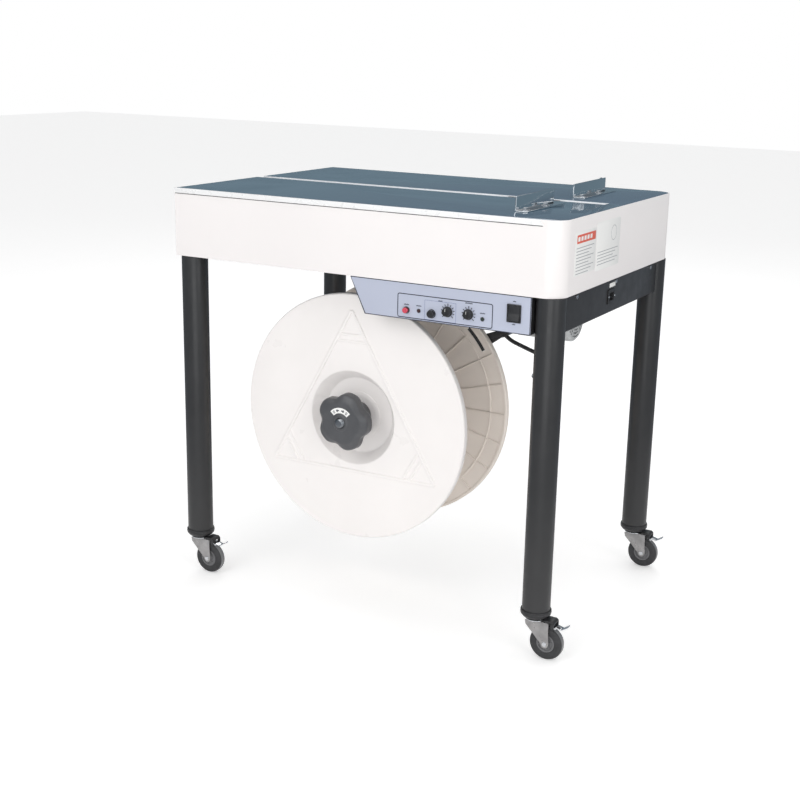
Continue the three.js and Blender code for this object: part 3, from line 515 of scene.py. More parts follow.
def build_table():
    """The apron, the two halves of the top, the strap channel between them, the front trim and a painted
    shadow under it.
    """
    notch = slab(rectangle(apron.x0 - 5, apron.x0 + 5, MID_Y - 13, MID_Y + 13), channel.z0 - 1, apron.z1 + 5,
                 bevel=0)
    piece("apron_shell", "table", IVORY,
          slab(table_outline(0), apron.z0, apron.z1, holes=[table_outline(SHEET + 0.2)], bevel=0.7),
          "apron", cutters=[notch])
    for name, side, body in (("front", -1, "front_cover"), ("rear", 1, "rear_cover")):
        inner, seam = MID_Y + side * (channel.deep / 2 + 0.5), MID_Y + side * 0.35
        outer = plate.y0 if side < 0 else Box("top_plate_rear").y1
        step = channel.x1 + 0.5
        outline = rounded([(plate.x0, outer, 1.0), (plate.x1, outer, CORNER - LIP), (plate.x1, seam, 0.4),
                           (step, seam, 0.4), (step, inner, 0.4), (plate.x0, inner, 0.6)], steps=20)
        piece(f"top_plate_{name}_sheet", body, SLATE, slab(outline, plate.z0, plate.z1, bevel=0.5),
              f"top_plate_{name}")
    opening = slab(rectangle(head_left - 2.5, head_right + 2.5, MID_Y - 9.5, MID_Y + 13), channel.z0 - 1,
                   channel.z0 + 6.3, bevel=0)
    wall, rise, half = 1.2, channel.tall, channel.deep / 2
    profile = rounded([(-half, 0, 0.8), (half, 0, 0.8), (half, rise, 0.3), (half - wall, rise, 0.3),
                       (half - wall, 1.5, 0.4), (wall - half, 1.5, 0.4), (wall - half, rise, 0.3),
                       (-half, rise, 0.3)])
    profile = [(MID_Y + u, channel.z0 + v) for u, v in profile]
    piece("strap_channel_liner", "table", CHANNEL_STEEL,
          slab(profile, channel.x0, channel.x1, "YZ", bevel=0.2), "strap_channel",
          cutters=[opening])
    trim = Box("front_edge_trim")
    oblique = [(trim.x0, trim.z0), (trim.x1, trim.z0), (trim.x1 - 7, trim.z1), (trim.x0, trim.z1)]
    piece("front_edge_strip", "table", TRIM_STEEL_PAINTED_REFLECTION, slab(oblique, trim.y0, trim.y1, "XZ", bevel=0.3),
          "front_edge_trim")
    # A dark strip just under the trim is a painted shadow: it stands for the shade beneath the trim's lower
    # edge.
    shadow = slab([(trim.x0 + 2, trim.z0 - 1.3), (trim.x1 - 3, trim.z0 - 1.3), (trim.x1 - 2, trim.z0 - 0.2),
                   (trim.x0 + 2, trim.z0 - 0.2)], apron.y0 - 0.5, apron.y0 + 0.1, "XZ", bevel=0.05)
    piece("front_edge_painted_shadow", "table", RUBBER, shadow)


HOOK = 7.0  # the rear stopper's top is bent back by this much


def build_stoppers():
    """Two bent angles of polished sheet, each bolted to its half of the top."""
    for name, side, body in (("front", -1, "front_cover"), ("rear", 1, "rear_cover")):
        stop = Box(f"stopper_{name}")
        face = stop.x0 + (HOOK if side > 0 else 0)
        foot, sheet = stop.x1, 2.0
        low = plate.z1 + 0.1
        profile = rounded([(face, low, 1.6), (foot, low, 0.5), (foot, low + sheet, 0.5),
                           (face + sheet, low + sheet, 1.5), (face + sheet, stop.z1, 0.5),
                           (face, stop.z1, 0.5)])
        piece(f"stopper_{name}_angle", body, STAINLESS, slab(profile, stop.y0, stop.y1, "XZ", bevel=0.4),
              f"stopper_{name}")
        screws = []
        for reach in (16, 97):
            screws += hex_bolt((face + 12, stop.y0 + reach, low + sheet), Z, across=8, height=3.4)
        piece(f"stopper_{name}_bolts", body, ZINC, screws)
        if side > 0:
            hook = rounded([(face - HOOK, stop.z1 - 4, 0.8), (face + 0.5, stop.z1 - 4),
                            (face + 0.5, stop.z1 - 1.2), (face - 5, stop.z1 - 1.2, 0.8),
                            (face - 5, stop.z1 - 0.3, 0.3), (face - HOOK, stop.z1 - 0.3, 0.8)])
            piece("stopper_rear_hook", body, STAINLESS, slab(hook, stop.y1 - 9, stop.y1 - 1, "XZ", bevel=0.3))


def build_underframe():
    """The welded frame, and the channel beam on the right with the power inlet in it."""
    dress("base_frame", BLACK, 0.6)
    beam, inlet = Box("side_beam"), Box("power_inlet")
    web = beam.x1 - 3
    profile = rounded([(beam.x0, beam.z0, 0.6), (web, beam.z0, 2.6), (web, beam.z1, 2.6),
                       (beam.x0, beam.z1, 0.6), (beam.x0, beam.z1 - 2, 0.6), (web - 2, beam.z1 - 2, 1),
                       (web - 2, beam.z0 + 2, 1), (beam.x0, beam.z0 + 2, 0.6)])

    def inlet_outline(margin, radius=0.0):
        return patch(inlet.y, inlet.z, inlet.deep / 2 - margin, inlet.tall / 2 - margin, radius)

    window = slab(inlet_outline(3.5), web - 6, web + 4, "YZ", bevel=0)
    piece("side_beam_channel", "table", BLACK, slab(profile, beam.y0, beam.y1, "XZ", bevel=0.4), "side_beam",
          cutters=[window])
    bolts = []
    for y in (-180, 0, 180):
        bolts += hex_bolt((web, MID_Y + y, beam.z1 - 8), X, across=7, height=2.6, washer=False)
    piece("side_beam_bolts", "table", ZINC, bolts)
    flange = slab(inlet_outline(0, 3), web + 0.2, web + 2.2, "YZ", bevel=0.6, holes=[inlet_outline(6, 1.5)])
    well = slab(inlet_outline(4.2, 2), inlet.x0, web + 0.6, "YZ", bevel=0.3, holes=[inlet_outline(6, 1.5)])
    back = slab(inlet_outline(5, 1), inlet.x0, inlet.x0 + 3, "YZ")
    piece("power_inlet_housing", "table", PLASTIC, [flange, well, back], "power_inlet")
    pins = [slab(patch(inlet.y + dy, inlet.z + dz, 2.4, 0.9, 0.4), inlet.x0 + 2, web - 2, "YZ", bevel=0.3)
            for dy, dz in ((-6, -2.5), (0, 3), (6, -2.5))]
    screws = [part for y in (inlet.y0 + 2.2, inlet.y1 - 2.2)
              for part in socket_screw((web + 2.0, y, inlet.z), X, 1.7, 0.8)]
    piece("power_inlet_pins", "table", CHROME, pins + screws, slot="machined_steel")
    label = slab(patch(inlet.y + 6, beam.z1 - 12.5, 14, 3.6, 0.8), web, web + 0.25, "YZ", bevel=0.1)
    piece("beam_sticker", "table", PAPER, label)


def build_legs():
    """Pipe legs in plastic foot caps, and the bolt in the side of one leg."""
    for corner in ("front_left", "front_right", "rear_left", "rear_right"):
        leg, cap = Box(f"leg_{corner}"), Box(f"foot_cap_{corner}")
        radius, wide = leg.wide / 2, cap.wide / 2
        tube = lathe([(radius - 2, leg.z0), (radius, leg.z0), (radius, leg.z1, 0.6), (radius - 2, leg.z1)],
                     (leg.x, leg.y, 0), Z, 96)
        piece(f"leg_{corner}_tube", "table", BLACK, tube, f"leg_{corner}")
        height = cap.z1 - cap.z0
        sleeve = lathe([(6.3, 0), (wide - 4, 0, 1), (wide, 5, 4), (wide, height - 1, 1.0),
                        (radius + 0.1, height, 0.6), (radius + 0.1, 5), (6.3, 5)], (leg.x, leg.y, cap.z0), Z,
                       96)
        rib = ring(wide - 0.2, 0.5, (leg.x, leg.y, cap.z0 + 8.5), Z, 96, 10)
        piece(f"foot_cap_{corner}_sleeve", "table", PLASTIC, [sleeve, rib], f"foot_cap_{corner}")
    leg = Box("leg_front_right")
    piece("leg_side_bolt", "table", ZINC, hex_bolt((leg.x0 + 0.2, leg.y, 492), -X, across=6, height=2.4))


def build_stickers():
    """Blank stickers where the apron carries its notices."""
    face = apron.x1
    for name, low, high, bottom, top, header in (("large", -217, -127, 656, 727, True),
                                                 ("small", -124, -15, 652, 733, False)):
        y0, y1 = MID_Y + low, MID_Y + high
        card = slab(rectangle(y0, y1, bottom, top, 3), face, face + 0.2, "YZ", bevel=0.08)
        piece(f"apron_sticker_{name}", "table", PAPER, card)
        if header:
            band = slab(rectangle(y0 + 7, y1 - 3, top - 19, top - 5, 1), face + 0.2, face + 0.32, "YZ",
                        bevel=0.05, holes=[rectangle(y0 + 11 + 13 * k, y0 + 20 + 13 * k, top - 15.5,
                                                     top - 8.5, 1) for k in range(5)])
            piece("apron_sticker_band", "table", RED_INK, band)
        rows = 9 if header else 5
        start = top - 27 if header else bottom + 30
        bars = [slab(rectangle(y0 + 6, y1 - 8 - 11 * (k % 3), start - 5.2 * k, start - 5.2 * k + 1.3, 0.3),
                     face + 0.19, face + 0.26, "YZ", bevel=0.03) for k in range(rows)]
        if not header:
            bars.append(slab(circle(13, y1 - 30, top - 24, 40), face + 0.19, face + 0.26, "YZ",
                             holes=[circle(12, y1 - 30, top - 24, 40)], bevel=0.03))
        piece(f"apron_sticker_{name}_bars", "table", GREY_INK, bars)


# ---- Control panel -----------------------------------------------------------------------------------------
panel = Box("control_panel")
case = Box("control_box")
FACE = panel.y0 + 2.0  # the printed face; the switch's frame stands 2 mm in front of it
PRINT = 0.12  # the thickness of the lines printed on it


controls = {name: Box(name) for name in ("reset_button", "feed_button", "feed_knob", "tension_knob",
                                         "error_lamp", "power_lamp", "power_rocker")}
# The radius of the hole in the face behind each round control.
bores = {"reset_button": 4.1, "feed_button": 5.3, "feed_knob": 3.5, "tension_knob": 3.5, "error_lamp": 2.7,
         "power_lamp": 2.7}
rocker = controls["power_rocker"]
rocker_z = 596.0  # the middle of the rocker's frame


def panel_outline(edge):
    """The panel's outline, slanted on the left, drawn in by an edge."""
    slant = edge * 1.2
    return rounded([(panel.x0 + 30 + slant, panel.z0 + edge), (panel.x1 - edge, panel.z0 + edge),
                    (panel.x1 - edge, panel.z1 - edge), (panel.x0 + slant, panel.z1 - edge)], 1.0)


def build_panel_face():
    """The pierced face and the open box behind it."""
    holes = [circle(radius, controls[name].x, controls[name].z, 40) for name, radius in bores.items()]
    holes.append(patch(rocker.x, rocker_z, 10.6, 13.5))
    piece("control_panel_face", "table", PANEL,
          slab(panel_outline(0), FACE, FACE + 1.5, "XZ", holes=holes, bevel=0.35), "control_panel")
    shell = slab(panel_outline(0), case.y0, case.y1, "XZ", bevel=0.8)
    pocket = slab(panel_outline(2), case.y0 - 1, case.y1 - 2, "XZ", bevel=0)
    piece("control_box_shell", "table", BLACK, shell, "control_box", cutters=[pocket])


def frame_line(outline_maker, width, surface, name):
    """A printed line that runs round a closed outline."""
    piece(name, "table", surface,
          slab(outline_maker(0), FACE - PRINT, FACE, "XZ", holes=[outline_maker(width)], bevel=0.03))


def build_panel_print():
    """Frame lines, the knobs' ticks, and rows of plain marks where the photo has lettering."""
    left, right, low, high = MID_X + 88.2, MID_X + 266.4, 565.6, 607
    box_left, box_right = controls["feed_button"].x - 13.7, controls["feed_knob"].x + 15.2
    frame_line(lambda w: panel_outline(w + 0.1), 1.3, INK, "panel_edge_line")
    frame_line(lambda w: rectangle(left + w, right - w, low + w, high - w, 4 - w), 1.5, INK,
               "panel_group_line")
    frame_line(lambda w: rectangle(box_left + w, box_right - w, low + 1.4 + w, 600.3 - w, 1.2), 0.4, BLUE_INK,
               "feed_group_line")
    marks = []
    for knob in (controls["feed_knob"], controls["tension_knob"]):
        for k in range(11):
            turn = math.radians(225 - 27 * k)
            inner, outer = 9.6, 13.6 if k % 5 == 0 else 12.8
            span = [(knob.x + r * math.cos(turn + side), knob.z + r * math.sin(turn + side))
                    for r, side in ((inner, -0.06), (outer, -0.06), (outer, 0.06), (inner, 0.06))]
            marks.append(slab(span, FACE - PRINT, FACE, "XZ", bevel=0.02))
    captions = [(controls["reset_button"].x, 587.5, 5), (controls["error_lamp"].x, 587.5, 5),
                ((box_left + box_right) / 2, 600.3, 4), (controls["tension_knob"].x, 602.5, 7),
                (controls["power_lamp"].x, 588.5, 5), (rocker.x, 614.6, 3), (rocker.x, 577, 3)]
    for x, z, count in captions:
        for k in range(count):
            start = x + 2.0 * (k - count / 2)
            marks.append(slab(rectangle(start + 0.2, start + 1.6, z, z + (2.2 if k % 2 else 1.7), 0.3),
                              FACE - 0.14, FACE, "XZ", bevel=0.02))
    piece("panel_marks", "table", INK, marks)


def build_rocker():
    """The power switch's frame and its paddle, tilted to off."""
    bezel = slab(patch(rocker.x, rocker_z, 12.5, 15.0, 1.5), panel.y0, FACE, "XZ",
                 holes=[patch(rocker.x, rocker_z, 10.2, 13.1, 0.5)], bevel=0.6)
    piece("rocker_frame", "table", PLASTIC, bezel)
    tilt = math.radians(7)
    paddle = rounded([(3, -12.6, 1), (3, 12.6, 1), (-3.2, 12.6, 0.8), (-1.6, 0, 14), (-3.2, -12.6, 0.8)],
                     steps=8)
    turned_profile = [(FACE + y * math.cos(tilt) + z * math.sin(tilt),
                       rocker_z - y * math.sin(tilt) + z * math.cos(tilt))
                      for y, z in paddle]
    piece("rocker_paddle", "power_rocker", PLASTIC,
          slab(turned_profile, rocker.x - 9.8, rocker.x + 9.8, "YZ", bevel=0.5), "power_rocker")


def build_panel_buttons():
    """Two push buttons with dished caps, each in a collar."""
    for name, surface in (("reset_button", RED), ("feed_button", PLASTIC)):
        box = controls[name]
        reach, stem, cap_back = box.wide / 2, bores[name] - 0.5, FACE - 3.8
        back, face = cap_back - box.y1, box.y0 - box.y1
        cap = [(0, 0), (stem, 0), (stem, back), (reach, back, 0.3), (reach, face, 1.6),
               (reach * 0.66, face, 0.8), (reach * 0.5, face + 0.5, 1), (0, face + 0.5)]
        piece(f"{name}_cap", name, surface, spun(cap, box.x, box.z, 64, box.y1), name)
        collar = [(reach + 0.2, 0), (reach + 1.2, 0), (reach + 1.2, -1.6, 0.6), (reach + 0.2, -1.6, 0.3)]
        piece(f"{name}_collar", "table", PLASTIC, spun(collar, box.x, box.z, 64, FACE))


def build_panel_lamps():
    """Two round lenses in collars."""
    for name, surface in (("error_lamp", AMBER), ("power_lamp", GREEN)):
        box = controls[name]
        face, seat = box.y0 - box.y1, FACE - 0.3 - box.y1
        lens = [(0, 0), (2.1, 0), (2.1, seat), (2.6, seat), (2.6, face + 1.4, 1.2), (1.4, face, 1.2),
                (0, face)]
        piece(f"{name}_lens", "table", surface, spun(lens, box.x, box.z, 48, box.y1), name)
        collar = [(2.75, -0.05), (3.6, -0.05, 0.2), (3.6, -0.9, 0.4), (2.75, -0.9, 0.2)]
        piece(f"{name}_collar", "table", PLASTIC, spun(collar, box.x, box.z, 48, FACE))


def knurled(angle, radius):
    """Fine flutes round a panel knob's grip."""
    return radius - (0.35 * max(0, math.cos(24 * angle)) if 7 < radius < 8 else 0)


def build_panel_knobs():
    """Two fluted knobs with a skirt, a grip rib and a pointer line."""
    for name in ("feed_knob", "tension_knob"):
        box = controls[name]
        depth = box.y0 + 1.5 - FACE
        profile = [(0, 8), (3, 8), (3, -0.8), (9, -0.8, 0.4), (9, -2.5, 0.8), (7.6, -3.5, 0.5),
                   (7.2, depth, 1.1), (0, depth)]
        grip = spun(profile, box.x, box.z, 144, FACE, swell=knurled)
        rib = slab(patch(box.x, box.z, 1.2, 6.4, 0.8), box.y0, FACE + depth + 0.6, "XZ", bevel=0.5)
        piece(f"{name}_grip", name, PLASTIC, [grip, rib], name)
        line = slab(patch(box.x, box.z + 3.75, 0.35, 2.25, 0.2), box.y0 - 0.08, box.y0 + 0.1, "XZ",
                    bevel=0.02)
        piece(f"{name}_pointer", name, PAPER, line)


def build_control_board():
    """The circuit board behind the panel, with its larger parts."""
    board = Box("control_board")
    sheet = slab(rectangle(board.x0, board.x1, board.z0, board.z1, 1.5), board.y1 - 1.6, board.y1, "XZ",
                 bevel=0.15)
    piece("circuit_board", "table", BOARD, sheet, "control_board")
    chips = [slab(rectangle(x, x + 14, 600, 616, 0.8), board.y0, board.y1 - 1.6, "XZ", bevel=0.5)
             for x in (board.x0 + 22, board.x0 + 42, board.x0 + 62)]
    chips.append(slab(rectangle(board.x0 + 100, board.x0 + 140, 576, 606, 1.2), board.y0 + 2, board.y1 - 1.6,
                      "XZ", bevel=0.6))
    chips += [rod(4.5, (board.x0 + 160 + 13 * k, board.y1 - 1.6, 610),
                  (board.x0 + 160 + 13 * k, board.y0 + 2, 610), 24)
              for k in range(3)]
    piece("circuit_parts", "table", PLASTIC, chips)


# ---- Strap reel --------------------------------------------------------------------------------------------
front, rear, drum = Box("front_flange"), Box("rear_flange"), Box("reel_drum")
REEL_X, REEL_Z, REEL_R = rear.x, rear.z, rear.wide / 2
RIDGE = 2.0  # the raised triangle stands this far in front of the disc
FRONT_FACE = front.y0 + RIDGE
DISH_MOUTH, DISH_FLOOR, DISH_DEPTH = 87.0, 70.0, 25.0
BORE = 12.5


def polar(radius, degrees):
    """A point on the reel's face, from its centre."""
    turn = math.radians(degrees)
    return REEL_X + radius * math.cos(turn), REEL_Z + radius * math.sin(turn)


def bar_outline(start, end, width, radius=2.0):
    """The outline of a straight bar between two points."""
    begin, finish = Vector(start), Vector(end)
    side = (finish - begin).normalized().orthogonal() * (width / 2)
    return rounded([tuple(begin - side), tuple(finish - side), tuple(finish + side), tuple(begin + side)],
                   radius)


def strip(start, end, width, low, high, radius, **shape):
    """A straight bar across the reel, between two points of its face."""
    return slab(bar_outline(start, end, width, radius), low, high, "XZ", **shape)


def build_front_flange():
    """An enamelled disc with a dished middle and a raised triangle with two short ribs at each corner."""
    y0, sheet = FRONT_FACE, 3.0
    deep = y0 + DISH_DEPTH
    profile = [(BORE, deep), (DISH_FLOOR, deep, 4), (DISH_MOUTH, y0, 3.5), (REEL_R - 0.2, y0, 3.2),
               (REEL_R - 0.2, y0 + 12, 1.2), (REEL_R - 3.6, y0 + 12, 1.2), (REEL_R - 3.6, y0 + sheet + 1, 3),
               (DISH_MOUTH + 1, y0 + sheet, 4), (DISH_FLOOR + 2, deep + sheet, 3), (BORE, deep + sheet)]
    shapes = [spun(profile, REEL_X, REEL_Z, 192, steps=8)]
    centre = Vector((REEL_X, REEL_Z))
    corners = [Vector(polar(198, angle)) for angle in (91, 211, 330)]
    for corner, following in zip(corners, corners[1:] + corners[:1]):
        shapes.append(strip(corner, following, 6.0, y0 - RIDGE, y0 + 0.8, 2.9, bevel=RIDGE, steps=6,
                            edges=(True, False)))
        inward = (centre - corner).normalized()
        for distance in (45, 57):
            spot = corner + inward * distance
            half = inward.orthogonal() * distance * math.tan(math.radians(28))
            shapes.append(strip(spot - half, spot + half, 5.0, y0 - RIDGE * 0.8, y0 + 0.8, 2.4,
                                bevel=RIDGE * 0.8, steps=6, edges=(True, False)))
    piece("front_flange_disc", "reel", REEL_WHITE, shapes, "front_flange")
    washer = [(34, deep - 0.1), (44, deep - 0.1, 1), (44, deep - 1.2, 1), (34, deep - 1.2, 1)]
    piece("front_flange_washer", "reel", REEL_WHITE, spun(washer, REEL_X, REEL_Z, 128))


def build_rear_flange():
    """A moulded disc: ribs on its inner face, webs on its outer face, and windows filled by dark sheets of
    painted shade.
    """
    y0, face, back = rear.y0, rear.y0 + 2.2, rear.y0 + 3.6
    windows = (40, 160, 280)
    slots = [slab(arc_band(205.5, 212.5, middle - 7, middle + 7, REEL_X, REEL_Z, 16), y0 - 5, y0 + 10, "XZ",
                  bevel=0)
             for middle in windows]
    profile = [(BORE, y0), (103, y0, 1), (104.5, face, 1), (REEL_R - 5.4, face, 1.5), (REEL_R - 4.6, y0, 1.0),
               (REEL_R, y0, 1.4), (REEL_R, y0 + 12, 1.2), (REEL_R - 3.6, y0 + 12, 1.2),
               (REEL_R - 3.6, back, 3), (30, back, 3), (30, rear.y1, 1.5), (BORE, rear.y1)]
    disc = spun(profile, REEL_X, REEL_Z, 192, steps=5)
    piece("rear_flange_disc", "reel", REEL_BEIGE, disc, "rear_flange", cutters=slots)
    ribs = [strip(polar(103.5, angle), polar(198 if angle % 120 == 45 else REEL_R - 5, angle), 2.6, y0 + 0.1,
                  face + 0.3, 0.2, bevel=0.9, edges=(True, False)) for angle in range(0, 360, 15)]
    hoop = [(192.4, face + 0.3), (192.4, y0 + 0.2, 0.9), (195.6, y0 + 0.2, 0.9), (195.6, face + 0.3)]
    ribs.append(spun(hoop, REEL_X, REEL_Z, 192))
    piece("rear_flange_ribs", "reel", REEL_BEIGE, ribs)
    webs = [strip(polar(29, angle), polar(REEL_R - 16, angle), 1.8, back - 0.3, back + 2.4, 0.2,
                  bevel=0.5, edges=(False, True)) for angle in range(0, 360, 45)]
    piece("rear_flange_webs", "reel", REEL_BEIGE, webs)
    # The three windows are filled with dark sheets as painted shade, standing for the darkness seen through
    # the slots.
    window_shade = [slab(arc_band(205.7, 212.3, middle - 6.9, middle + 6.9, REEL_X, REEL_Z, 16), face + 0.4,
                 back - 0.1, "XZ", bevel=0.2) for middle in windows]
    piece("rear_flange_window_shade", "reel", RUBBER, window_shade)


def build_drum():
    """The ribbed drum between the two flanges."""
    radius = drum.wide / 2
    wall = radius - 4
    profile = [(BORE, drum.y0 + 25.5), (20, drum.y0 + 25.5, 0.8), (20, drum.y1 - 5, 2),
               (wall, drum.y1 - 5, 2), (wall, drum.y0, 0.6), (radius, drum.y0, 1.0), (radius, drum.y1),
               (BORE, drum.y1)]
    tube = spun(profile, REEL_X, REEL_Z, 160)
    ribs = []
    for angle in range(0, 360, 45):
        a, b = Vector(polar(19.5, angle)), Vector(polar(wall + 0.5, angle))
        side = (b - a).normalized().orthogonal() * 1.2
        ribs.append(slab([tuple(a - side), tuple(b - side), tuple(b + side), tuple(a + side)], drum.y0 + 32,
                         drum.y1 - 4.8, "XZ", bevel=0.5))
    piece("reel_drum_shell", "reel", REEL_BEIGE, [tube] + ribs, "reel_drum")


def build_knob():
    """The lobed knob that clamps the reel, and the shaft it screws on."""
    knob = Box("reel_knob")
    lobes, first, swell = 5, math.radians(20), 4.2
    body_r = 50.2
    front_y, back_y = knob.y0, knob.y0 + 30
    face_y = front_y + 2.0  # the flat round the raised boss

    def lobed(angle, r):
        share = min(1.0, max(0.0, (r - 30) / 17)) ** 1.5
        phase = lobes * (-angle - first + math.pi / 2)
        return r + swell * share * (math.cos(phase) - 0.22 * math.cos(2 * phase))

    profile = [(8.4, front_y + 2), (10, front_y, 0.8), (13.6, front_y, 1.6), (16.2, face_y, 1.6),
               (38, face_y, 10), (body_r - 0.8, face_y + 6, 6), (body_r, back_y - 6, 4),
               (body_r - 5, back_y, 3), (30, back_y, 4), (26, knob.y1, 2), (8.4, knob.y1)]
    body = spun(profile, REEL_X, REEL_Z, 200, steps=8, swell=lobed)
    piece("reel_knob_grip", "reel_knob", BAKELITE, body, "reel_knob")
    label = slab(arc_band(18.0, 28.0, 44, 138, REEL_X, REEL_Z, 40), face_y - 0.2, face_y + 0.4, "XZ",
                 bevel=0.12)
    piece("reel_knob_sticker", "reel_knob", PAPER, label)
    ink = (face_y - 0.3, face_y)
    arrows = []
    for start, sign in ((97, 1), (85, -1)):
        stem = arc_band(22.0, 24.0, start, start + sign * 10, REEL_X, REEL_Z, 8)
        arrows.append(slab(stem, *ink, "XZ", bevel=0.02))
        tip, base = start + sign * 16, start + sign * 8
        arrows.append(slab([polar(23, tip), polar(26.2, base), polar(19.8, base)], *ink, "XZ", bevel=0.02))
    for start in (52, 120):
        for k in range(3):
            arrows.append(slab(arc_band(20.4 + 1.9 * k, 21.3 + 1.9 * k, start, start + 10, REEL_X, REEL_Z, 8),
                               *ink, "XZ", bevel=0.02))
    piece("reel_knob_marks", "reel_knob", INK, arrows)

    shaft = Box("reel_shaft")
    thread = [(0, shaft.y0), (5.8, shaft.y0, 0.6)]
    y = shaft.y0 + 1.2
    while y < shaft.y0 + 9:
        thread += [(7.9, y), (7.1, y + 0.6)]
        y += 1.2
    thread += [(7.9, y), (7.9, FRONT_FACE + DISH_DEPTH), (12, FRONT_FACE + DISH_DEPTH + 4, 1),
               (12, shaft.y1, 0.8), (0, shaft.y1)]
    piece("reel_shaft_bar", "table", STEEL, lathe(thread, (REEL_X, 0, REEL_Z), Y, 64), "reel_shaft")


PIVOT = (MID_X + 179.0, 507.0)  # of the brake lever, in x and z


def build_bracket():
    """The two-armed bracket that carries the reel, and the brake lever with its roller."""
    bracket, lever = Box("reel_bracket"), Box("brake_lever")
    front_y, back_y = bracket.y1 - 12, bracket.y1
    top = bracket.z1 - 7
    shapes = []
    for lean in (36.4, 114):
        foot_x = REEL_X + (top - REEL_Z) / math.tan(math.radians(lean))
        shapes.append(slab(bar_outline((REEL_X, REEL_Z), (foot_x, top), 14), front_y, back_y, "XZ",
                           bevel=1.2))
        shapes.append(slab(rectangle(foot_x - 14, foot_x + 10, top - 0.5, bracket.z1, 1), front_y, back_y,
                           "XZ", bevel=0.8))
    shapes.append(spun(even([(12.3, 0), (24, 0, 1.5)], front_y, back_y), REEL_X, REEL_Z))
    pivot_x, pivot_z = PIVOT
    shapes.append(rod(4, (pivot_x, front_y - 12.5, pivot_z), (pivot_x, front_y + 1, pivot_z)))
    piece("reel_bracket_frame", "table", BLACK, shapes, "reel_bracket")
    clip = [spun(even([(12.1, 0), (16.5, 0, 0.3)], back_y + 0.2, back_y + 1.8), REEL_X, REEL_Z, 48)]
    clip += hex_bolt((REEL_X + 19, back_y, REEL_Z + 3), Y, 5, 2, washer=False)
    piece("reel_bracket_clip", "table", ZINC, clip)

    middle, plate_y = lever.y1 - 3, (lever.y1 - 6, lever.y1)
    roller = Box("guide_roller")
    shoe = polar(REEL_R - 12, 39)
    arm = [slab(bar_outline(PIVOT, shoe, 11, 5), *plate_y, "XZ", bevel=0.8),
           spun(even([(4.3, 0), (9, 0, 1)], plate_y[0] - 1, plate_y[1]), pivot_x, pivot_z, 48),
           bent_rod([(pivot_x - 1, middle, pivot_z - 4), (pivot_x + 15, middle, pivot_z - 15),
                     (pivot_x + 55, middle, pivot_z - 28), (roller.x, middle, roller.z)], 3.7, bend=16,
                    segments=24),
           rod(3.5, (roller.x, roller.y0 - 0.9, roller.z), (roller.x, middle, roller.z)),
           spun(even([(0, 0), (5.2, 0, 0.8)], middle - 3.7, middle + 3.2), roller.x, roller.z, 40)]
    piece("brake_lever_arm", "brake_lever", BLACK, arm, "brake_lever")
    pad = rod(6, (shoe[0], lever.y1 - 16, shoe[1]), (shoe[0], lever.y1 - 5.5, shoe[1]))
    piece("brake_lever_pad", "brake_lever", RUBBER, pad)
    spool = even([(3.9, 0), (11, 0, 0.8), (11, 2.4, 0.6), (9.5, 3.2, 1)], roller.y0, roller.y1)
    piece("guide_roller_body", "guide_roller", PLASTIC, spun(spool, roller.x, roller.z, 64), "guide_roller")


# ---- Sealing head and drive --------------------------------------------------------------------------------
cam, pulley = Box("camshaft"), Box("motor_pulley")
cam_y, cam_z = MID_Y, cam.z0 + 30
BIG_PULLEY, SMALL_PULLEY = 30, 13  # radii of the pulleys' crowns, with the belt's clearance
pulley_left, pulley_right = cam.x0 + 6, cam.x0 + 18


def build_head():
    """The sealing head's frame, anvil and pressers, in the CAD's own shapes with softened edges."""
    dress("mechanism_frame", ZINC, 0.4)
    for node in ("anvil", "left_gripper", "press_head", "right_gripper"):
        dress(node, STEEL, 0.4)


def build_camshaft():
    """Three eccentrics and the large pulley on a spindle, and the motor's small pulley."""
    spindle = [rod(8, (cam.x0, cam_y, cam_z), (cam.x1, cam_y, cam_z), 64, 1.0)]
    for name, phase in (("left_gripper", 0), ("press_head", 120), ("right_gripper", 240)):
        turn = math.radians(phase)
        x = Box(name).x
        y, z = cam_y + 8 * math.sin(turn), cam_z + 8 * math.cos(turn)
        spindle.append(rod(18, (x - 6, y, z), (x + 6, y, z), 96, 0.8))
    groove = lathe([(0, 0), (29.2, 0, 0.6), (29.6, 6, 0.5), (29.2, 12, 0.6), (0, 12)],
                   (pulley_left, cam_y, cam_z), X, 128)
    hub = lathe(even([(7, 0), (13, 0, 0.8)], -2, 14), (pulley_left, cam_y, cam_z), X, 64)
    piece("camshaft_body", "camshaft", STEEL, spindle + [groove, hub], "camshaft")
    small = [lathe([(0, 0), (12.4, 0, 0.5), (12.8, 6, 0.5), (12.4, 12, 0.5), (0, 12)],
                   (pulley_left, pulley.y, pulley.z), X, 96),
             rod(6, (pulley.x0, pulley.y, pulley.z), (pulley.x1, pulley.y, pulley.z), 48)]
    piece("motor_pulley_body", "motor_pulley", STEEL, small, "motor_pulley")


def build_belt():
    """A flat belt round both pulleys."""
    heading = math.atan2(pulley.z - cam_z, pulley.y - cam_y)
    spread = math.acos((BIG_PULLEY - SMALL_PULLEY) / math.hypot(pulley.z - cam_z, pulley.y - cam_y))

    def belt(margin):
        big, little = BIG_PULLEY + margin, SMALL_PULLEY + margin
        loop = []
        for k in range(41):
            turn = heading + spread + (2 * math.pi - 2 * spread) * k / 40
            loop.append((cam_y + big * math.cos(turn), cam_z + big * math.sin(turn)))
        for k in range(25):
            turn = heading - spread + 2 * spread * k / 24
            loop.append((pulley.y + little * math.cos(turn), pulley.z + little * math.sin(turn)))
        return loop

    band = slab(belt(2.4), pulley_left + 1, pulley_right - 1, "YZ", holes=[belt(0.4)], bevel=0.5)
    piece("drive_belt_loop", "table", RUBBER, band, "drive_belt")


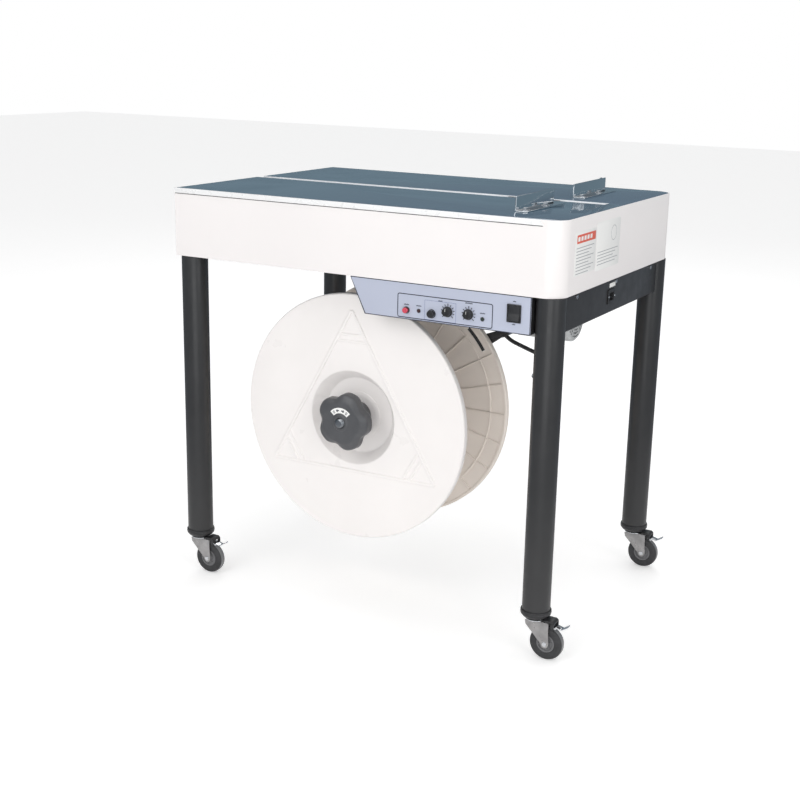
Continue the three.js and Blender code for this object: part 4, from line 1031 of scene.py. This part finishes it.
def build_feed():
    """The feed roller, the pinch roller and the feed motor."""
    feed, pinch, gearbox = Box("feed_roller"), Box("pinch_roller"), Box("feed_motor")
    profile = [(0, feed.y0), (5, feed.y0, 0.6), (5, feed.y0 + 3), (16, feed.y0 + 3, 1), (16, feed.y0 + 21, 1),
               (5, feed.y0 + 21), (5, feed.y1, 0.6), (0, feed.y1)]
    roller = spun(profile, feed.x, feed.z, 160,
                  swell=lambda angle, r: r - (0.3 * max(0, math.cos(40 * angle)) if r > 15 else 0))
    piece("feed_roller_body", "feed_roller", RUBBER, roller, "feed_roller")
    bushed = even([(4.3, 0), (11.5, 0, 0.6)], pinch.y0, pinch.y1)
    piece("pinch_roller_body", "pinch_roller", STEEL, spun(bushed, pinch.x, pinch.z), "pinch_roller")
    housing = slab(rectangle(gearbox.x0, gearbox.x1, gearbox.z0, gearbox.z1, 5), gearbox.y0,
                   gearbox.y0 + 11.4, "XZ", bevel=1.2)
    profile = [(0, gearbox.y0 + 11), (23, gearbox.y0 + 11, 1), (23, gearbox.y1 - 12, 0.6),
               (22, gearbox.y1 - 11, 0.6), (22, gearbox.y1, 2), (0, gearbox.y1)]
    barrel = spun(profile, gearbox.x, gearbox.z)
    piece("feed_motor_body", "table", MOTOR_PAINT, [housing, barrel], "feed_motor")


def build_motor():
    """A finned motor lying along X, with end bells, a slotted fan cover and a terminal box."""
    motor = Box("main_motor")
    y, z = motor.y, motor.z0 + 42
    fins, tip, root = 24, 41.8, 36.5
    outline = []
    for i in range(fins):
        for share, reach in ((0.0, tip), (0.26, tip), (0.4, root), (0.86, root)):
            turn = 2 * math.pi * (i + share) / fins
            outline.append((y + reach * math.cos(turn), z + reach * math.sin(turn), 0.7))
    body = slab(rounded(outline, steps=2), motor.x0 + 15, motor.x1 - 27, "YZ", bevel=0.6)
    bell = lathe([(8, 0), (36, 0, 2), (39, 4, 2), (39, 15, 1), (8, 15)], (motor.x0 + 0.1, y, z), X, 96)
    cover = lathe([(6, 0), (41.4, 0, 1), (41.4, 22, 5), (36, 26.8, 4), (6, 26.8)], (motor.x1 - 27, y, z), X,
                  96)
    grille = [slab(arc_band(r, r + 2.6, start + 6, start + 54, y, z, 14), motor.x1 - 6, motor.x1 + 4, "YZ",
                   bevel=0)
              for r in (12, 18, 24, 30) for start in range(0, 360, 60)]
    piece("main_motor_housing", "table", MOTOR_PAINT, [body, bell], "main_motor")
    piece("main_motor_fan_cover", "table", MOTOR_PAINT, cover, cutters=grille)
    box_low, box_high = z + 34, motor.z1
    box = slab(patch(motor.x0 + 56, y, 21.5, 15.8, 4), box_low, box_high - 4, bevel=0.8)
    lid = slab(patch(motor.x0 + 56, y, 22, 16, 4), box_high - 3.7, box_high, bevel=1.0)
    piece("main_motor_terminal_box", "table", MOTOR_PAINT, [box, lid])
    screws = [part for x in (motor.x0 + 38, motor.x0 + 74) for dy in (-12, 12)
             for part in socket_screw((x, y + dy, box_high - 1.2), Z, 1.9, 1.2)]
    piece("main_motor_screws", "table", ZINC, screws)
    x = motor.x0 + 70
    gland = rod(6, (x, y - 22, box_low + 8), (x, y - 15, box_low + 8), 6, 0.6)
    cable = bent_rod([(x, y - 16, box_low + 8), (x, y - 40, box_low + 8), (x, y - 78, 620),
                      (x, MID_Y - 200, 620), (x, case.y1 + 14, 612), (x, case.y1 - 1, 604)], 3.2, bend=18,
                     segments=20)
    piece("motor_cable", "table", RUBBER, [gland, cable])


# ---- Casters -----------------------------------------------------------------------------------------------
CROWN = 69.5  # the top of the fork


def build_caster(corner):
    """A swivelling caster under one leg: pressed fork, tyred wheel and foot brake."""
    leg, wheel = Box(f"leg_{corner}"), Box(f"caster_wheel_{corner}")
    build_fork(corner, leg.x, leg.y, wheel.x, wheel.z)
    build_wheel(corner, leg.y, wheel)
    build_brake(corner, leg.x, leg.y)


def build_fork(corner, x, y, axle_x, axle_z):
    """The fork with its ball race and stem, the plastic hood behind it, and the axle bolt."""
    body = f"caster_{corner}"
    boss, outer = 7.3, 12.0
    back, end = x - 14.8, x + 28.8
    cheek = rounded([(back, CROWN - 2), (back + 1.4, CROWN - 9.5, 2), (axle_x - boss, axle_z, boss),
                     (axle_x - boss * 0.6, axle_z - boss, boss * 0.8),
                     (axle_x + boss * 0.6, axle_z - boss, boss * 0.8), (axle_x + boss, axle_z, boss),
                     (end, CROWN - 16, 8), (end, CROWN - 2)], steps=10)
    cheeks = [slab(cheek, y + side - 1, y + side + 1, "XZ", bevel=0.5) for side in (1 - outer, outer - 1)]
    top = slab(rounded([(back, y - outer + 0.2, 9), (end, y - outer + 0.2, 3), (end, y + outer - 0.2, 3),
                        (back, y + outer - 0.2, 9)], steps=8), CROWN - 3.3, CROWN, bevel=1.2)
    piece(f"caster_fork_{corner}_pressing", body, FORK_STEEL, cheeks + [top], f"caster_fork_{corner}")
    race = lathe([(0, CROWN - 1), (15, CROWN - 1), (17.6, CROWN, 0.6), (17.6, CROWN + 1.4, 0.8),
                  (13, CROWN + 3, 1.4), (8, CROWN + 4.4, 0.8), (0, CROWN + 4.4)], (x, y, 0), Z, 96)
    stem = rod(6, (x, y, CROWN + 4), (x, y, Box(f"caster_fork_{corner}").z1 - 0.2), 48)
    piece(f"caster_race_{corner}", body, CHROME, [race, stem])
    hood = rounded([(x + 19.4, CROWN - 1, 0.6), (x + 38.3, CROWN - 1, 0.8), (x + 38.3, CROWN + 1.2, 1.4),
                    (x + 34.6, CROWN + 4.3, 2), (x + 20.6, CROWN + 4.3, 1.4), (x + 19.4, CROWN + 3, 1)],
                   steps=6)
    ear = rounded([(x + 32.2, 59.8, 2), (x + 38.3, 59.8, 2), (x + 38.3, CROWN), (x + 32.2, CROWN)])
    shell = [slab(hood, y - 11.8, y + 11.8, "XZ", bevel=1.2, steps=5)]
    shell += [slab(ear, y + low, y + low + 1.7, "XZ", bevel=0.4) for low in (-11.9, 10.2)]
    piece(f"caster_hood_{corner}", body, PLASTIC, shell)
    axle = [rod(4, (axle_x, y - 12.6, axle_z), (axle_x, y + 12.6, axle_z), 32, 0.4)]
    for side, direction in ((-12, -Y), (12, Y)):
        axle += hex_bolt((axle_x, y + side, axle_z), direction, 7.5, 1.7, washer=False)
    piece(f"caster_axle_{corner}", body, CHROME, axle)


def build_wheel(corner, y, wheel):
    """A hub with six spokes, a rubber tyre, and a tread band painted lighter grey as a painted sheen."""
    body, axle_x, axle_z = f"wheel_{corner}", wheel.x, wheel.z
    half, seat, radius = wheel.deep / 2, 16.2, wheel.tall / 2

    def wheel_part(half_profile, segments, **shape):
        return spun(even(half_profile, -half, half), axle_x, axle_z, segments, y, **shape)

    tyre = wheel_part([(seat, 2.4), (seat + 1.4, 1.4, 0.6), (radius - 4, 0.9, 2.4), (radius - 0.6, 3.4, 2.4)],
                      128, steps=6)
    piece(f"caster_tyre_{corner}", body, RUBBER, tyre, f"caster_wheel_{corner}")
    # The tread band is lighter than the tyre as a painted sheen, not from wear.
    tread = wheel_part([(radius - 2, 5), (radius, 5, 1.2)], 128)
    piece(f"caster_tread_{corner}", body, TREAD_SHEEN, tread)
    hub = wheel_part([(4.4, 0), (7.6, 0, 0.8), (8.4, 4, 0.8), (12.6, 4, 0.8), (13.8, 1.7, 0.7),
                      (seat + 0.1, 1.7, 0.5)], 96)
    spokes = []
    for turn in angles(6, 15):
        a = Vector((axle_x + 7 * math.cos(turn), axle_z + 7 * math.sin(turn)))
        b = Vector((axle_x + 13.6 * math.cos(turn), axle_z + 13.6 * math.sin(turn)))
        spokes.append(slab(bar_outline(a, b, 2.2, 0.2), y - half + 2.4, y + half - 2.4, "XZ", bevel=0.4))
    piece(f"caster_hub_{corner}", body, HUB_PLASTIC, [hub] + spokes)


def build_brake(corner, x, y):
    """A foot pedal on a cross pin, with a shoe over the tyre."""
    lever = rounded([(x + 31.8, 61.2), (x + 40.4, 61.2, 1), (x + 50, 59.4, 3), (x + 61.4, 66.2, 0.7),
                     (x + 60.4, 67.9, 0.7), (x + 49.6, 61.2, 3), (x + 41, 63.4, 1), (x + 31.8, 64.3)])
    shoe = rounded([(x + 36.5, 58.3, 0.6), (x + 40, 58.3, 0.6), (x + 40, 62), (x + 36.5, 62)])
    parts = [slab(lever, y - 7, y + 7, "XZ", bevel=0.5), slab(shoe, y - 6, y + 6, "XZ", bevel=0.4)]
    parts.append(rod(1.6, (x + 35, y - 9.9, 62.75), (x + 35, y + 9.9, 62.75), 20, 0.2))
    piece(f"brake_pedal_{corner}_lever", f"pedal_{corner}", CHROME, parts, f"brake_pedal_{corner}")


# ---- Stage, lights and camera ------------------------------------------------------------------------------
def build_stage():
    """A pale floor and soft lights. The floor is whiter to the camera and dark in far mirrored rays."""
    floor_material = material("studio_floor", srgb(250, 250, 250), 0.7, specular=0.2, mottle=0.01, grain=40,
                              grain_depth=0.01)
    tree = floor_material.node_tree
    shader = tree.nodes["Principled BSDF"]
    rays = put(tree, "LightPath").outputs
    glow = put(tree, "Math", {0: rays["Is Camera Ray"], 1: 0.3}, operation="MULTIPLY")
    shader.inputs["Emission Color"].default_value = (1.0, 1.0, 1.0, 1.0)
    tree.links.new(glow.outputs[0], shader.inputs["Emission Strength"])
    far = put(tree, "MapRange", {"Value": rays["Ray Length"], "From Min": 0.25, "From Max": 1.4})
    mirrored = put(tree, "Math", {0: rays["Is Glossy Ray"], 1: far.outputs["Result"]}, operation="MULTIPLY")
    dim = put(tree, "Emission", {"Color": (0.2, 0.225, 0.26, 1.0)})
    either = put(tree, "MixShader", {"Fac": mirrored.outputs[0], 1: shader.outputs["BSDF"],
                                     2: dim.outputs["Emission"]})
    tree.links.new(either.outputs["Shader"], tree.nodes["Material Output"].inputs["Surface"])
    size = 12000
    outline = [(-size, -size, 0), (size, -size, 0), (size, size, 0), (-size, size, 0)]
    floor = make_mesh("studio_floor", [(outline, [(0, 1, 2, 3)])])
    floor.data.materials.append(floor_material)
    build_world()
    for name, place, aim, width, height, power in (
            ("key", (-0.6, -3.0, 2.0), (0, 0, 0.5), 2.2, 1.6, 21),
            ("fill", (2.8, -1.4, 1.4), (0, 0, 0.4), 1.6, 1.6, 17),
            ("front", (1.0, -2.7, 0.5), (0, 0, 0.4), 1.8, 0.9, 8.5),
            ("rear", (-1.2, 2.8, 2.8), (0, 0, 0.5), 1.8, 1.4, 14),
            ("top", (0.2, 0.6, 3.2), (0, 0, 0.6), 2.4, 2.4, 18)):
        data = bpy.data.lights.new(name, "AREA")
        data.shape, data.size, data.size_y, data.energy = "RECTANGLE", width, height, power
        lamp = bpy.data.objects.new(name, data)
        bpy.context.scene.collection.objects.link(lamp)
        lamp.location = place
        lamp.rotation_euler = (Vector(aim) - Vector(place)).to_track_quat("-Z", "Y").to_euler()
    bpy.context.scene.view_settings.view_transform = "Standard"
    bpy.context.scene.view_settings.look = "None"


def build_world():
    """A white studio. Mirrored surfaces see it dim up to middle height and bright overhead."""
    world = bpy.data.worlds.new("studio")
    bpy.context.scene.world = world
    world.use_nodes = True
    tree = world.node_tree
    rays = put(tree, "LightPath").outputs
    direction = put(tree, "TexCoord").outputs["Generated"]
    height = put(tree, "SeparateXYZ", {0: direction}).outputs["Z"]
    ramp = put(tree, "ValToRGB", {0: height})
    horizon, above = ramp.color_ramp.elements
    horizon.position, horizon.color = 0.0, (0.155, 0.22, 0.265, 1.0)
    above.position, above.color = 0.35, (0.16, 0.18, 0.2, 1.0)
    ramp.color_ramp.elements.new(0.75).color = (0.85, 0.85, 0.85, 1.0)
    lit = mix(tree, rays["Is Camera Ray"], (0.64, 0.64, 0.64, 1.0), (1.0, 1.0, 1.0, 1.0))
    seen = mix(tree, rays["Is Glossy Ray"], lit, ramp.outputs["Color"])
    tree.links.new(seen, tree.nodes["Background"].inputs["Color"])
    tree.nodes["Background"].inputs["Strength"].default_value = 1.0


def build_camera():
    """The camera stands to the right of the front, a little above the table top."""
    data = bpy.data.cameras.new("camera")
    camera = bpy.data.objects.new("camera", data)
    bpy.context.scene.collection.objects.link(camera)
    data.sensor_width, data.lens = 36.0, 58.63
    place = Vector((MID_X + 1153.6, MID_Y - 2148.9, 1011.3)) * MM
    yaw, pitch, roll = math.radians(29.301), math.radians(15.307), math.radians(1.157)
    turn = Matrix.Rotation(yaw, 4, "Z") @ Matrix.Rotation(math.pi / 2 - pitch, 4, "X")
    turn = turn @ Matrix.Rotation(roll, 4, "Z")
    camera.matrix_world = Matrix.Translation(place) @ turn
    bpy.context.scene.camera = camera


for build in (build_table, build_stoppers, build_underframe, build_legs, build_stickers, build_panel_face,
              build_panel_print, build_rocker, build_panel_buttons, build_panel_lamps, build_panel_knobs,
              build_control_board, build_front_flange, build_rear_flange, build_drum, build_knob,
              build_bracket, build_head, build_camshaft, build_belt, build_motor, build_feed):
    build()
for caster_corner in ("front_left", "front_right", "rear_left", "rear_right"):
    build_caster(caster_corner)
build_stage()
build_camera()
